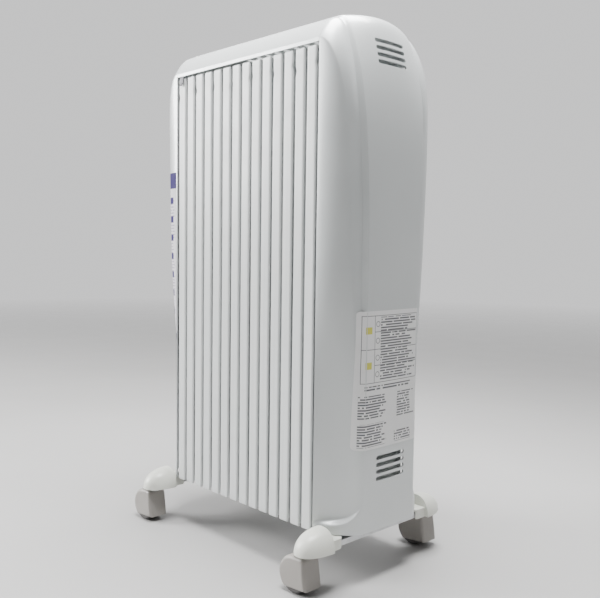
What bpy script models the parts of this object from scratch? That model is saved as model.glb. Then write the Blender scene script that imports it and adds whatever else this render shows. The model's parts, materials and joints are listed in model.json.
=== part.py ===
"""Oil filled radiator heater on four twin-wheel casters, as separate named parts.

Metres, +Z up.  X runs along the row of fin elements, from the control end (-X) to
the rear end (+X).  Y runs through the thickness.  The floor is z = 0, and the
origin is on the floor under the middle of the whole heater.
"""

import math

import bpy
import bmesh
from mathutils import Matrix, Vector

GAP = 0.0003                 # clearance kept between touching pieces
PLASTIC_WALL = 0.0022        # thickness of the moulded covers

# ---- fin elements -------------------------------------------------------
ELEMENT_COUNT = 7
ELEMENT_PITCH = 0.0384
SLAT_WIDTH = 0.0144
SLAT_OFFSET = ELEMENT_PITCH / 4
SLAT_FACE = 0.083            # |Y| of the flat outer faces
SHEET = 0.0012
SLAT_LIP = 0.0005            # depth of the turned-in edges of a slat
WEB_HALF_THICKNESS = 0.004
WEB_EDGE = 0.048
NOTCH_EDGE = 0.0505
FIN_BOTTOM = 0.0600
FIN_TOP = 0.6115
HEADER_RADIUS = 0.017
HEADER_BORE = 0.0125
HEADER_LENGTH = ELEMENT_PITCH - GAP
HEADER_HEIGHTS = (0.105, 0.575)
FIELD_END = (ELEMENT_COUNT - 1) * ELEMENT_PITCH / 2 + HEADER_LENGTH / 2

# ---- moulded covers -----------------------------------------------------
SEAM_X = 0.1365              # where an end cover starts, and the slats' frame ends
COVER_BOTTOM = 0.060
RIM_BOTTOM = 0.613           # lower edge of the rim over the slats
RIM_TOP = 0.617
END_X = 0.1815               # end face of a cover at mid height
FAN_HEIGHT = 0.52            # sections are level below this, and fan out above it
CREASE_DEPTH = 0.036         # how far the crease stands beyond the seam
CREASE_START = 0.357
BAND_HALF = 0.0438           # half width of the raised central band, low down
BAND_FLARE = 0.0075          # how much wider each side of it is at the top
GROOVE_WIDTH = 0.0049        # from the edge of the band to its foot
LEDGE_RISE = 0.014           # height of the rounded ledge at the bottom of the scoop
SKIRT_PATH = ((0.1365, 0.083), (0.158, 0.0715), (0.1785, 0.0595), (0.1803, 0.0487))  # plan, a cubic curve

# ---- vents and control end ----------------------------------------------
VENT_LENGTH = 0.050
VENT_HEIGHT = 0.0048
VENT_PITCH = 0.0082
LOWER_VENT = 0.145
UPPER_VENT = 0.620
VENT_COUNT = 4
GRILLE_SLOTS = 12
GRILLE_LENGTH = 0.060
GRILLE_WIDTH = 0.007
PANEL_HALF_WIDTH = 0.034
PANEL_LOW = 0.375
PANEL_HIGH = 0.492
PANEL_FACE = 0.1800
PANEL_BACK = 0.1712
KNOB_HEIGHT = 0.462
KNOB_RADIUS = 0.020
KNOB_TIP = 0.1920
LENS_HEIGHT = 0.428
ROCKER_HEIGHT = 0.402
ROCKER_SIDE = 0.013
ROCKER_TILT = math.radians(8)
ROCKER_PIVOT = 0.1775
GLAND_HEIGHT = 0.090

# ---- casters ------------------------------------------------------------
SWIVEL_X = 0.1545
SWIVEL_Y = 0.106
TRAIL = 0.0135
WHEEL_RADIUS = 0.019
WHEEL_WIDTH = 0.0096
WHEEL_OFFSET = 0.00675
HOOD_RADIUS = 0.0215
HOOD_WIDTH = 0.028
HOOD_BOTTOM = 0.0045
HOOD_TOP = 0.043
BAY_RADIUS = 0.0197
BAY_WIDTH = 0.0105
RIB_HALF = 0.0015
AXLE_RADIUS = 0.002
FOOT_BASE = 0.047
FOOT_START = 0.0845          # vertical face of the dome, just outside the slats
FOOT_SEMI = (0.0205, 0.039, 0.0255)
FOOT_WALL = 0.0019
TONGUE_INNER = 0.064
TONGUE_HALF = 0.0155
TONGUE_TOP = 0.0590
BAR_LOW = 0.0490
BAR_HIGH = 0.0555
BAR_HALF = 0.0130
CLAMP_X = ELEMENT_PITCH * 2.5
CLAMP_WIRE = 0.0025

# The heater is modelled about the middle of its fins.  The knob stands out
# further than the rear cover, so the middle of the whole is this far away.
FRAME_SHIFT = (KNOB_TIP - END_X) / 2


# ---------------------------------------------------------------- scene set-up
for old in list(bpy.data.objects):
    bpy.data.objects.remove(old, do_unlink=True)


def new_collection(name):
    collection = bpy.data.collections.new(name)
    bpy.context.scene.collection.children.link(collection)
    return collection


parts = new_collection("oil_filled_radiator")
cutters = new_collection("cutters")

frame = bpy.data.objects.new("radiator_frame", None)
frame.location = (FRAME_SHIFT, 0, 0)
parts.objects.link(frame)


def make_material(name, colour, roughness, metallic=0.0):
    material = bpy.data.materials.new(name)
    material.use_nodes = True
    shader = material.node_tree.nodes["Principled BSDF"]
    shader.inputs["Base Color"].default_value = (*colour, 1.0)
    shader.inputs["Roughness"].default_value = roughness
    shader.inputs["Metallic"].default_value = metallic
    return material


FIN_PAINT = make_material("fin_paint", (0.72, 0.74, 0.74), 0.35)
COVER_PAINT = make_material("cover_gloss", (0.70, 0.73, 0.73), 0.22)
IVORY = make_material("ivory_plastic", (0.83, 0.83, 0.76), 0.45)
WARM_GREY = make_material("caster_grey", (0.55, 0.52, 0.49), 0.5)
PANEL_GREY = make_material("panel_grey", (0.45, 0.47, 0.48), 0.4)
KNOB_WHITE = make_material("knob_white", (0.78, 0.79, 0.78), 0.35)
LENS_AMBER = make_material("lens_amber", (0.85, 0.35, 0.05), 0.15)
STEEL = make_material("zinc_steel", (0.56, 0.57, 0.58), 0.35, 1.0)
BRASS = make_material("brass", (0.72, 0.56, 0.27), 0.3, 1.0)
ELECTRIC = make_material("switch_black", (0.05, 0.05, 0.055), 0.5)


# ------------------------------------------------------------- modelling tools
def add_object(name, mesh, material, parent=frame, location=(0, 0, 0), smooth=True):
    """Link one sub-part into the parts collection."""
    thing = bpy.data.objects.new(name, mesh)
    thing.parent = parent
    thing.location = location
    mesh.materials.clear()
    mesh.materials.append(material)
    if smooth:
        mesh.shade_smooth()
        mesh.set_sharp_from_angle(angle=math.radians(35))
    parts.objects.link(thing)
    return thing


def add_cutter(name, mesh, parent=frame, location=(0, 0, 0)):
    """Link a tool for Booleans, kept out of the finished object."""
    tool = bpy.data.objects.new(name, mesh)
    tool.parent = parent
    tool.location = location
    tool.hide_render = True
    tool.display_type = "WIRE"
    cutters.objects.link(tool)
    return tool


def combine(target, tool, operation):
    modifier = target.modifiers.new(tool.name, "BOOLEAN")
    modifier.operation = operation
    modifier.solver = "EXACT"
    modifier.object = tool


def round_edges(target, width, segments=2, angle=35):
    bevel = target.modifiers.new("Bevel", "BEVEL")
    bevel.width = width
    bevel.segments = segments
    bevel.limit_method = "ANGLE"
    bevel.angle_limit = math.radians(angle)


def finish_mesh(name, bm):
    mesh = bpy.data.meshes.new(name)
    bmesh.ops.recalc_face_normals(bm, faces=bm.faces)
    bm.to_mesh(mesh)
    bm.free()
    return mesh


def box_mesh(name, low, high):
    """A box between two corners."""
    low = Vector(low)
    high = Vector(high)
    bm = bmesh.new()
    bmesh.ops.create_cube(bm, size=1.0)
    bmesh.ops.scale(bm, vec=high - low, verts=bm.verts)
    bmesh.ops.translate(bm, vec=(low + high) / 2, verts=bm.verts)
    return finish_mesh(name, bm)


TURN_TO = {
    "X": Matrix.Rotation(math.pi / 2, 4, "Y"),
    "Y": Matrix.Rotation(-math.pi / 2, 4, "X"),
    "Z": Matrix.Identity(4),
}


def cylinder_mesh(name, radius, start, end, axis, centre=(0, 0, 0), segments=14):
    """A cylinder along an axis, from start to end on that axis."""
    bm = bmesh.new()
    bmesh.ops.create_cone(
        bm, cap_ends=True, segments=segments, radius1=radius, radius2=radius, depth=end - start
    )
    bmesh.ops.transform(bm, matrix=TURN_TO[axis], verts=bm.verts)
    along = {"X": Vector((1, 0, 0)), "Y": Vector((0, 1, 0)), "Z": Vector((0, 0, 1))}[axis]
    bmesh.ops.translate(bm, vec=Vector(centre) + along * (start + end) / 2, verts=bm.verts)
    return finish_mesh(name, bm)


def mesh_of_curve(name, curve, matrix):
    """Turn a filled or bevelled curve into a welded mesh, moved by a matrix."""
    holder = bpy.data.objects.new(name, curve)
    bpy.context.scene.collection.objects.link(holder)
    graph = bpy.context.evaluated_depsgraph_get()
    mesh = bpy.data.meshes.new_from_object(holder.evaluated_get(graph))
    bpy.data.objects.remove(holder, do_unlink=True)
    bm = bmesh.new()
    bm.from_mesh(mesh)
    bmesh.ops.remove_doubles(bm, verts=bm.verts, dist=0.00002)
    bmesh.ops.transform(bm, matrix=matrix, verts=bm.verts)
    bpy.data.meshes.remove(mesh)
    return finish_mesh(name, bm)


def outline_mesh(name, points, depth, matrix=Matrix.Identity(4)):
    """A flat outline in its own XY plane, extruded by depth about that plane."""
    curve = bpy.data.curves.new(name, "CURVE")
    curve.dimensions = "2D"
    curve.fill_mode = "BOTH"
    curve.extrude = depth / 2
    spline = curve.splines.new("POLY")
    spline.points.add(len(points) - 1)
    for point, (x, y) in zip(spline.points, points):
        point.co = (x, y, 0, 1)
    spline.use_cyclic_u = True
    return mesh_of_curve(name, curve, matrix)


def wire_mesh(name, points, radius):
    """A round wire through points, with closed ends."""
    curve = bpy.data.curves.new(name, "CURVE")
    curve.dimensions = "3D"
    curve.bevel_depth = radius
    curve.bevel_resolution = 2
    curve.use_fill_caps = True
    spline = curve.splines.new("POLY")
    spline.points.add(len(points) - 1)
    for point, place in zip(spline.points, points):
        point.co = (*place, 1)
    return mesh_of_curve(name, curve, Matrix.Identity(4))


def turned_object(name, profile, axis, material, parent, location, closed=False, steps=16):
    """A profile of (radius, height) pairs, top to bottom, turned about an axis."""
    bm = bmesh.new()
    verts = [bm.verts.new((radius, 0, height)) for radius, height in profile]
    for first, second in zip(verts, verts[1:]):
        bm.edges.new((first, second))
    if closed:
        bm.edges.new((verts[-1], verts[0]))
    mesh = bpy.data.meshes.new(name)
    bm.to_mesh(mesh)
    bm.free()
    thing = add_object(name, mesh, material, parent, location, smooth=False)
    thing.rotation_euler = TURN_TO[axis].to_euler()
    screw = thing.modifiers.new("Screw", "SCREW")
    screw.axis = "Z"
    screw.steps = steps
    screw.render_steps = steps
    screw.use_merge_vertices = True
    screw.merge_threshold = 0.00002
    screw.use_smooth_shade = True
    return thing


def arc(centre, radius, start, end, count):
    """Points on an arc, angles in degrees, both ends included."""
    for step in range(count):
        angle = math.radians(start + (end - start) * step / (count - 1))
        yield (centre[0] + radius * math.cos(angle), centre[1] + radius * math.sin(angle))


def capsule(length, width, count=3):
    """A straight slot with round ends, along the first axis."""
    radius = width / 2
    reach = length / 2 - radius
    return [*arc((reach, 0), radius, -90, 90, count), *arc((-reach, 0), radius, 90, 270, count)]


# ---------------------------------------------------------------- fin elements
def fin_outline():
    """Plan of one pressed element: a web, and four arms that end in flat slats."""
    inner = SLAT_FACE - SHEET
    half_slat = SLAT_WIDTH / 2
    half_arm = SHEET / 2
    quarter = [
        (WEB_HALF_THICKNESS, WEB_EDGE),
        (SLAT_OFFSET + half_arm, inner),
        (SLAT_OFFSET + half_slat, inner - SLAT_LIP),
        (SLAT_OFFSET + half_slat, SLAT_FACE),
        (SLAT_OFFSET - half_slat, SLAT_FACE),
        (SLAT_OFFSET - half_slat, inner - SLAT_LIP),
        (SLAT_OFFSET - half_arm, inner),
    ]
    points = [*quarter, (0, NOTCH_EDGE)]
    points += [(-x, y) for x, y in reversed(quarter)]
    points += [(-x, -y) for x, y in quarter]
    points.append((0, -NOTCH_EDGE))
    points += [(x, -y) for x, y in reversed(quarter)]
    return points


def make_fin_elements():
    height = FIN_TOP - FIN_BOTTOM
    middle = (FIN_TOP + FIN_BOTTOM) / 2
    plan = outline_mesh("fin_plan", fin_outline(), height)
    hubs = []
    for level in HEADER_HEIGHTS:
        centre = (0, 0, level - middle)
        half = HEADER_LENGTH / 2
        hub = cylinder_mesh("header_hub", HEADER_RADIUS, -half, half, "X", centre)
        bore = cylinder_mesh("header_bore", HEADER_BORE, -half - 0.01, half + 0.01, "X", centre)
        hubs.append((hub, bore))
    for index in range(ELEMENT_COUNT):
        place = ((index - (ELEMENT_COUNT - 1) / 2) * ELEMENT_PITCH, 0, middle)
        name = f"fin_element_{index + 1}"
        element = add_object(name, plan.copy(), FIN_PAINT, location=place, smooth=False)
        for hub, bore in hubs:
            combine(element, add_cutter(f"{name}_hub", hub, location=place), "UNION")
            combine(element, add_cutter(f"{name}_bore", bore, location=place), "DIFFERENCE")


# -------------------------------------------------------------- moulded covers
def blend(first, second, weight):
    return first + (second - first) * weight


def smoothstep(value):
    value = min(max(value, 0.0), 1.0)
    return value * value * (3 - 2 * value)


def band_rail(side):
    """End face, lean and top of the band at a share of its half width from the middle."""
    crown = (0.1815, 0.470, 0.652, 0.0240, 18)
    edge = (0.1805, 0.460, 0.647, 0.0330, 22)
    return tuple(blend(a, b, side ** 2) for a, b in zip(crown, edge))


def band_half(z):
    """Half width of the band at a height."""
    return BAND_HALF + BAND_FLARE * smoothstep((z - 0.40) / 0.17)


FOOT_RAIL = (0.1745, 0.460, 0.6430, 0.0290, 22)
BAND_SIDES = (1.0, 0.57, 0.0)


def rail_point(rail, angle):
    """Where a ray from the fan's pivot, in the seam plane, meets a rail.

    The rail is a lean that grows with the cube of the height, under a flat top,
    with the corner between them rounded by a power mean.
    """
    end_x, lean_start, top, lean, power = rail
    across = math.cos(angle)
    upward = math.sin(angle)

    def outside(reach):
        x = SEAM_X + reach * across
        rise = max(FAN_HEIGHT + reach * upward - lean_start, 0.0)
        return x > end_x - lean * (rise / (top - lean_start)) ** 3

    low = 0.0
    high = 0.4
    for _ in range(40):
        middle = (low + high) / 2
        if outside(middle):
            high = middle
        else:
            low = middle
    if upward < 0.001:
        return SEAM_X + low, FAN_HEIGHT
    flat = (top - FAN_HEIGHT) / upward
    reach = (low ** -power + flat ** -power) ** (-1 / power)
    return SEAM_X + reach * across, FAN_HEIGHT + reach * upward


def rail_x(rail, z):
    """Distance of a rail from the middle at a level section."""
    end_x, lean_start, top, lean, _ = rail
    rise = max(z - lean_start, 0.0)
    return end_x - lean * (rise / (top - lean_start)) ** 3


def crease_at(z):
    """Plan position (x, y) of the crease at a height."""
    rise = min(max((z - CREASE_START) / (RIM_TOP - CREASE_START), 0.0), 1.0)
    x = SEAM_X + CREASE_DEPTH * math.sqrt(1 - rise ** 5)
    y = 0.04865 + 0.040 * z
    flare = min(max((z - 0.49) / (RIM_TOP - 0.49), 0.0), 1.0)
    y += (SLAT_FACE - 0.04865 - 0.040 * RIM_TOP) * flare ** 2
    return x, y


def crease_point(angle):
    """Where a ray from the fan's pivot meets the crease."""
    low = FAN_HEIGHT
    high = RIM_TOP
    for _ in range(40):
        z = (low + high) / 2
        x, _y = crease_at(z)
        if math.atan2(z - FAN_HEIGHT, max(x - SEAM_X, 0.0)) < angle:
            low = z
        else:
            high = z
    x, y = crease_at(high)
    return Vector((x, y, high))


def half_section(corner, crease, foot, band, bulge):
    """Points across half a section, from the slats' frame to the middle."""
    turn = Vector((crease.x - 0.839 * (corner.y - crease.y), corner.y, (corner.z + crease.z) / 2))
    turn.x = max(turn.x, corner.x)
    points = [corner]
    for weight in (0.25, 0.5, 0.75):
        inner = corner.lerp(turn, weight)
        outer = turn.lerp(crease, weight)
        points.append(inner.lerp(outer, weight))
    points.append(crease)
    points.append((crease + foot) / 2 + bulge)
    points.append(foot)
    points += band
    return points


def level_section(z):
    x, y = crease_at(z)
    band = [Vector((rail_x(band_rail(side), z), side * band_half(z), z)) for side in BAND_SIDES]
    foot = Vector((rail_x(FOOT_RAIL, z), band_half(z) + GROOVE_WIDTH, z))
    corner = Vector((SEAM_X, SLAT_FACE, z))
    return half_section(corner, Vector((x, y, z)), foot, band, Vector((0.0006, 0, 0)))


def fan_section(angle):
    crease = crease_point(angle)
    share = (crease.z - FAN_HEIGHT) / (RIM_TOP - FAN_HEIGHT)
    corner = Vector((SEAM_X, SLAT_FACE, blend(FAN_HEIGHT, RIM_BOTTOM, share)))
    band = []
    for side in BAND_SIDES:
        x, z = rail_point(band_rail(side), angle)
        band.append(Vector((x, side * band_half(z), z)))
    x, z = rail_point(FOOT_RAIL, angle)
    foot = Vector((x, band_half(z) + GROOVE_WIDTH, z))
    height = blend(0.0006, 0.007, share)
    bulge = Vector((math.cos(angle), 0, math.sin(angle))) * height
    return half_section(corner, crease, foot, band, bulge)


def skirt_section(count):
    """Plan of the foot of a cover, from the slats' corner to the foot of the band."""
    points = []
    for step in range(count):
        way = step / (count - 1)
        shares = ((1 - way) ** 3, 3 * way * (1 - way) ** 2, 3 * way ** 2 * (1 - way), way ** 3)
        x = sum(share * place[0] for share, place in zip(shares, SKIRT_PATH))
        y = sum(share * place[1] for share, place in zip(shares, SKIRT_PATH))
        points.append((x, y))
    return points


def ledge_rows():
    """The lowest rows of a cover, which follow the rounded ledge over its skirt."""
    scoop = level_section(0.12)
    skirt = skirt_section(7)
    rows = []
    for rise in (None, -0.003, 0.004, 0.012):
        row = []
        for index, point in enumerate(scoop):
            share = min(index / 6, 1.0)
            ledge = blend(0.067, 0.106, share ** 2)
            z = COVER_BOTTOM if rise is None else ledge + rise
            level = level_section(z)[index]
            if index < len(skirt):
                spread = 1.0 if rise is None else 1 - smoothstep((rise + 0.003) / LEDGE_RISE)
                level.x = blend(level.x, skirt[index][0], spread)
                level.y = blend(level.y, skirt[index][1], spread)
            row.append(level)
        rows.append(row)
    return rows


def end_cover_rows():
    rows = ledge_rows()
    rows += [level_section(z) for z in (0.13, 0.19, 0.27, 0.35, 0.43, 0.48, FAN_HEIGHT)]
    for degrees in (22, 40, 53, 63, 70, 76, 83, 90):
        rows.append(fan_section(math.radians(degrees)))
    return rows


def loft_mesh(name, rows, side):
    """Skin a grid of half sections and their mirror images, facing outward."""
    bm = bmesh.new()
    grid = []
    for row in rows:
        full = [Vector((p.x, -p.y, p.z)) for p in row]
        full += [Vector((p.x, p.y, p.z)) for p in reversed(row[:-1])]
        grid.append([bm.verts.new((side * p.x, p.y, p.z)) for p in full])
    for low, high in zip(grid, grid[1:]):
        for a, b, c, d in zip(low, low[1:], high[1:], high):
            bm.faces.new((a, b, c, d) if side > 0 else (d, c, b, a))
    mesh = bpy.data.meshes.new(name)
    bm.to_mesh(mesh)
    bm.free()
    return mesh


def thicken(thing):
    solid = thing.modifiers.new("Solidify", "SOLIDIFY")
    solid.thickness = PLASTIC_WALL
    solid.offset = -1


def trim_seam(cover, side):
    """Face the edge of an end cover off square, just clear of the top cover."""
    low_x, high_x = sorted((side * 0.10, side * (SEAM_X + 0.0007)))
    mesh = box_mesh(f"{cover.name}_trim", (low_x, -0.1, 0), (high_x, 0.1, 0.7))
    combine(cover, add_cutter(f"{cover.name}_trim", mesh), "DIFFERENCE")


def vent_levels(start):
    return [start - VENT_PITCH * index for index in range(VENT_COUNT)]


def cut_vents(cover, side, levels):
    """Rows of round-ended slots through the band, along Y."""
    to_wall = Matrix(((0, 0, 1), (1, 0, 0), (0, 1, 0))).to_4x4()
    slot = outline_mesh("vent_slot", capsule(VENT_LENGTH, VENT_HEIGHT), 0.05, to_wall)
    for index, level in enumerate(levels):
        place = (side * 0.165, 0, level)
        tool = add_cutter(f"{cover.name}_vent_{index + 1}", slot, location=place)
        combine(cover, tool, "DIFFERENCE")


def make_covers():
    rows = end_cover_rows()
    rear = add_object("rear_cover", loft_mesh("rear_cover", rows, 1), COVER_PAINT)
    thicken(rear)
    cut_vents(rear, 1, vent_levels(LOWER_VENT) + vent_levels(UPPER_VENT))
    trim_seam(rear, 1)

    front = add_object("front_cover", loft_mesh("front_cover", rows, -1), COVER_PAINT)
    thicken(front)
    cut_vents(front, -1, vent_levels(UPPER_VENT))
    low = (-0.200, -PANEL_HALF_WIDTH - 0.0004, PANEL_LOW - 0.0004)
    high = (-0.160, PANEL_HALF_WIDTH + 0.0004, PANEL_HIGH + 0.0004)
    combine(front, add_cutter("panel_window", box_mesh("panel_window", low, high)), "DIFFERENCE")
    hole = cylinder_mesh("gland_hole", 0.0087, -0.2, -0.16, "X", (0, 0, GLAND_HEIGHT), 14)
    combine(front, add_cutter("gland_hole", hole), "DIFFERENCE")
    trim_seam(front, -1)

    seam = rows[-1]
    spread = SEAM_X - GAP
    ends = []
    for x in (spread, -spread):
        ends.append([Vector((x, point.y, point.z)) for point in seam])
    top = add_object("top_cover", loft_mesh("top_cover", ends, 1), COVER_PAINT)
    thicken(top)
    slot = outline_mesh("grille_slot", capsule(GRILLE_LENGTH, GRILLE_WIDTH), 0.06)
    slot.transform(Matrix.Rotation(math.pi / 2, 4, "Z"))
    for index in range(GRILLE_SLOTS):
        x = (index - (GRILLE_SLOTS - 1) / 2) * ELEMENT_PITCH / 2
        tool = add_cutter(f"grille_slot_{index + 1}", slot, location=(x, 0, 0.64))
        combine(top, tool, "DIFFERENCE")


def make_mounting_plates():
    start = FIELD_END + 0.0005
    for name, side in (("rear_mounting_plate", 1), ("front_mounting_plate", -1)):
        x_range = sorted((side * start, side * (start + 0.0012)))
        mesh = box_mesh(name, (x_range[0], -0.070, 0.14), (x_range[1], 0.070, 0.535))
        add_object(name, mesh, STEEL, smooth=False)
    for index, level in enumerate((0.20, 0.475)):
        mesh = box_mesh("plate_window", (0.1, -0.03, level - 0.03), (0.2, 0.03, level + 0.03))
        combine(parts.objects["rear_mounting_plate"], add_cutter(f"plate_window_{index}", mesh), "DIFFERENCE")


# ------------------------------------------------------------ oil circuit parts
def make_heating_element():
    leg = 0.0065
    start = -FIELD_END + 0.001
    end = 0.095
    points = [(start, leg, HEADER_HEIGHTS[0])]
    points += [(x, y, HEADER_HEIGHTS[0]) for x, y in arc((end, 0), leg, 90, -90, 9)]
    points.append((start, -leg, HEADER_HEIGHTS[0]))
    add_object("heating_element", wire_mesh("heating_element", points, 0.004), STEEL)


def make_header_plugs():
    places = (
        ("header_plug_rear_lower", 1, HEADER_HEIGHTS[0]),
        ("header_plug_rear_upper", 1, HEADER_HEIGHTS[1]),
        ("header_plug_front_upper", -1, HEADER_HEIGHTS[1]),
    )
    for name, side, level in places:
        profile = [(0, 0.003), (0.0155, 0.003), (0.0155, 0), (0, 0)]
        location = (side * (FIELD_END + GAP), 0, level)
        plug = turned_object(name, profile, "X", BRASS, frame, location)
        if side < 0:
            plug.rotation_euler = (0, -math.pi / 2, 0)
        bm = bmesh.new()
        bmesh.ops.create_cone(bm, cap_ends=True, segments=6, radius1=0.008, radius2=0.008, depth=0.005)
        bmesh.ops.transform(bm, matrix=TURN_TO["X"], verts=bm.verts)
        hexagon = finish_mesh(f"{name}_hexagon", bm)
        centre = (side * (FIELD_END + 0.004), 0, level)
        combine(plug, add_cutter(f"{name}_hexagon", hexagon, location=centre), "UNION")


def make_element_flange():
    profile = [(0, 0.004), (0.0155, 0.004), (0.0155, 0), (0, 0)]
    location = (-FIELD_END - GAP, 0, HEADER_HEIGHTS[0])
    flange = turned_object("element_flange", profile, "X", BRASS, frame, location)
    flange.rotation_euler = (0, -math.pi / 2, 0)
    for name, y in (("terminal_left", -0.0065), ("terminal_right", 0.0065)):
        centre = (0, y, HEADER_HEIGHTS[0])
        pin = cylinder_mesh(name, 0.002, -FIELD_END - 0.014, -FIELD_END - 0.002, "X", centre, 12)
        combine(flange, add_cutter(name, pin), "UNION")


# --------------------------------------------------------------- control end
def make_control_panel():
    block = box_mesh(
        "control_panel",
        (-PANEL_FACE, -PANEL_HALF_WIDTH, PANEL_LOW),
        (-PANEL_BACK - 0.001, PANEL_HALF_WIDTH, PANEL_HIGH),
    )
    panel = add_object("control_panel", block, PANEL_GREY, smooth=False)
    flange = box_mesh(
        "panel_flange",
        (-PANEL_BACK - 0.002, -PANEL_HALF_WIDTH - 0.004, PANEL_LOW - 0.004),
        (-PANEL_BACK, PANEL_HALF_WIDTH + 0.004, PANEL_HIGH + 0.004),
    )
    combine(panel, add_cutter("panel_flange", flange), "UNION")
    holes = [("knob_hole", 0.0036, KNOB_HEIGHT), ("lens_hole", 0.0033, LENS_HEIGHT)]
    for name, radius, height in holes:
        hole = cylinder_mesh(name, radius, -0.2, -0.16, "X", (0, 0, height), 12)
        combine(panel, add_cutter(name, hole), "DIFFERENCE")
    for name, y in (("rocker_window_1", -ROCKER_SIDE), ("rocker_window_2", ROCKER_SIDE)):
        window = box_mesh(
            name, (-0.2, y - 0.0075, ROCKER_HEIGHT - 0.0115), (-0.16, y + 0.0075, ROCKER_HEIGHT + 0.0115)
        )
        combine(panel, add_cutter(name, window), "DIFFERENCE")


def make_knob():
    tip = KNOB_TIP - PANEL_FACE
    foot = 0.0005
    profile = [
        (0, tip),
        (KNOB_RADIUS * 0.80, tip),
        (KNOB_RADIUS * 0.88, tip - 0.0012),
        (KNOB_RADIUS * 0.92, 0.0040),
        (KNOB_RADIUS, 0.0028),
        (KNOB_RADIUS, foot),
        (0.003, foot),
        (0.003, PANEL_BACK - PANEL_FACE - 0.002),
        (0, PANEL_BACK - PANEL_FACE - 0.002),
    ]
    location = (-PANEL_FACE, 0, KNOB_HEIGHT)
    knob = turned_object("thermostat_knob", profile, "X", KNOB_WHITE, frame, location, steps=20)
    knob.rotation_euler = (0, -math.pi / 2, 0)
    mark = box_mesh("knob_pointer", (-0.0012, -0.0012, 0.009), (0.0012, 0.0012, 0.0150))
    tool = add_cutter("knob_pointer", mark, location=(-KNOB_TIP, 0, KNOB_HEIGHT))
    combine(knob, tool, "DIFFERENCE")


def make_rockers():
    for name, y in (("rocker_switch_1", -ROCKER_SIDE), ("rocker_switch_2", ROCKER_SIDE)):
        mesh = box_mesh(name, (-0.0045, -0.0068, -0.0100), (0.0045, 0.0068, 0.0100))
        location = (-ROCKER_PIVOT, y, ROCKER_HEIGHT)
        rocker = add_object(name, mesh, ELECTRIC, location=location)
        rocker.rotation_euler = (0, ROCKER_TILT, 0)
        round_edges(rocker, 0.0008)


def make_lens():
    face = PANEL_FACE - PANEL_BACK + 0.0005
    profile = [(0, face + 0.0016), (0.0018, face + 0.0012), (0.0029, face), (0.0029, 0), (0, 0)]
    location = (-PANEL_BACK + 0.0005, 0, LENS_HEIGHT)
    lens = turned_object("pilot_lens", profile, "X", LENS_AMBER, frame, location, steps=12)
    lens.rotation_euler = (0, -math.pi / 2, 0)


def make_electrics():
    """Blocks behind the panel and on the front mounting plate."""
    plate = FIELD_END + 0.0020
    boxes = (
        ("thermostat_body", 0.1450, 0.1685, -0.016, 0.016, 0.446, 0.478),
        ("switch_housing", 0.1500, 0.1700, -0.024, 0.024, 0.389, 0.415),
        ("terminal_block", plate, 0.1500, 0.004, 0.044, 0.200, 0.222),
        ("tip_over_switch", plate, 0.1540, -0.040, -0.012, 0.160, 0.190),
    )
    for name, inner, outer, left, right, low, high in boxes:
        mesh = box_mesh(name, (-outer, left, low), (-inner, right, high))
        block = add_object(name, mesh, ELECTRIC)
        round_edges(block, 0.001, 1)
    profile = [(0, 0.006), (0.005, 0.006), (0.005, 0.0035), (0.009, 0.0035), (0.009, 0), (0, 0)]
    cutout = turned_object("thermal_cutout", profile, "X", STEEL, frame, (-plate, 0.02, 0.345))
    cutout.rotation_euler = (0, -math.pi / 2, 0)


def make_gland():
    outer = END_X + 0.0034
    profile = [
        (0.0095, outer),
        (0.0112, outer - 0.0012),
        (0.0112, END_X + GAP),
        (0.0083, END_X + GAP),
        (0.0083, END_X - 0.003),
        (0.0112, END_X - 0.003),
        (0.0112, END_X - 0.007),
        (0.0040, END_X - 0.007),
        (0.0040, outer),
    ]
    gland = turned_object(
        "cord_gland", profile, "X", ELECTRIC, frame, (0, 0, GLAND_HEIGHT), closed=True, steps=14
    )
    gland.rotation_euler = (0, -math.pi / 2, 0)


# -------------------------------------------------------------------- feet
def ellipsoid_mesh(name, semi, segments, rings):
    bm = bmesh.new()
    bmesh.ops.create_uvsphere(bm, u_segments=segments, v_segments=rings, radius=1.0)
    bmesh.ops.scale(bm, vec=semi, verts=bm.verts)
    return finish_mesh(name, bm)


def make_foot(name, side_x, side_y):
    """A hollow ivory foot: a dome outside the body, and a tongue under it."""
    place = (side_x * SWIVEL_X, side_y * FOOT_START, FOOT_BASE)
    tongue_reach = FOOT_START - TONGUE_INNER
    inner_semi = [value - FOOT_WALL for value in FOOT_SEMI]

    def tool(word, half_x, y_range, z_range):
        low_y, high_y = sorted(side_y * y for y in y_range)
        mesh = box_mesh(f"{name}_{word}", (-half_x, low_y, z_range[0]), (half_x, high_y, z_range[1]))
        return add_cutter(f"{name}_{word}", mesh, location=place)

    foot = add_object(name, ellipsoid_mesh(name, FOOT_SEMI, 20, 10), IVORY, location=place)
    combine(foot, tool("quarter", 0.05, (0, 0.05), (0, 0.05)), "INTERSECT")
    combine(foot, tool("tongue", TONGUE_HALF, (-tongue_reach, 0.004), (0, TONGUE_TOP - FOOT_BASE)), "UNION")

    hollow_mesh = ellipsoid_mesh(f"{name}_hollow", inner_semi, 16, 8)
    hollow = add_cutter(f"{name}_hollow", hollow_mesh, location=place)
    combine(hollow, tool("hollow_end", 0.05, (FOOT_WALL, 0.05), (-0.05, 0.05)), "INTERSECT")
    combine(foot, hollow, "DIFFERENCE")
    channel_top = BAR_HIGH + 0.001 - FOOT_BASE
    channel = tool("channel", TONGUE_HALF - FOOT_WALL, (-tongue_reach - 0.01, 0.006), (-0.01, channel_top))
    combine(foot, channel, "DIFFERENCE")


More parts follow.
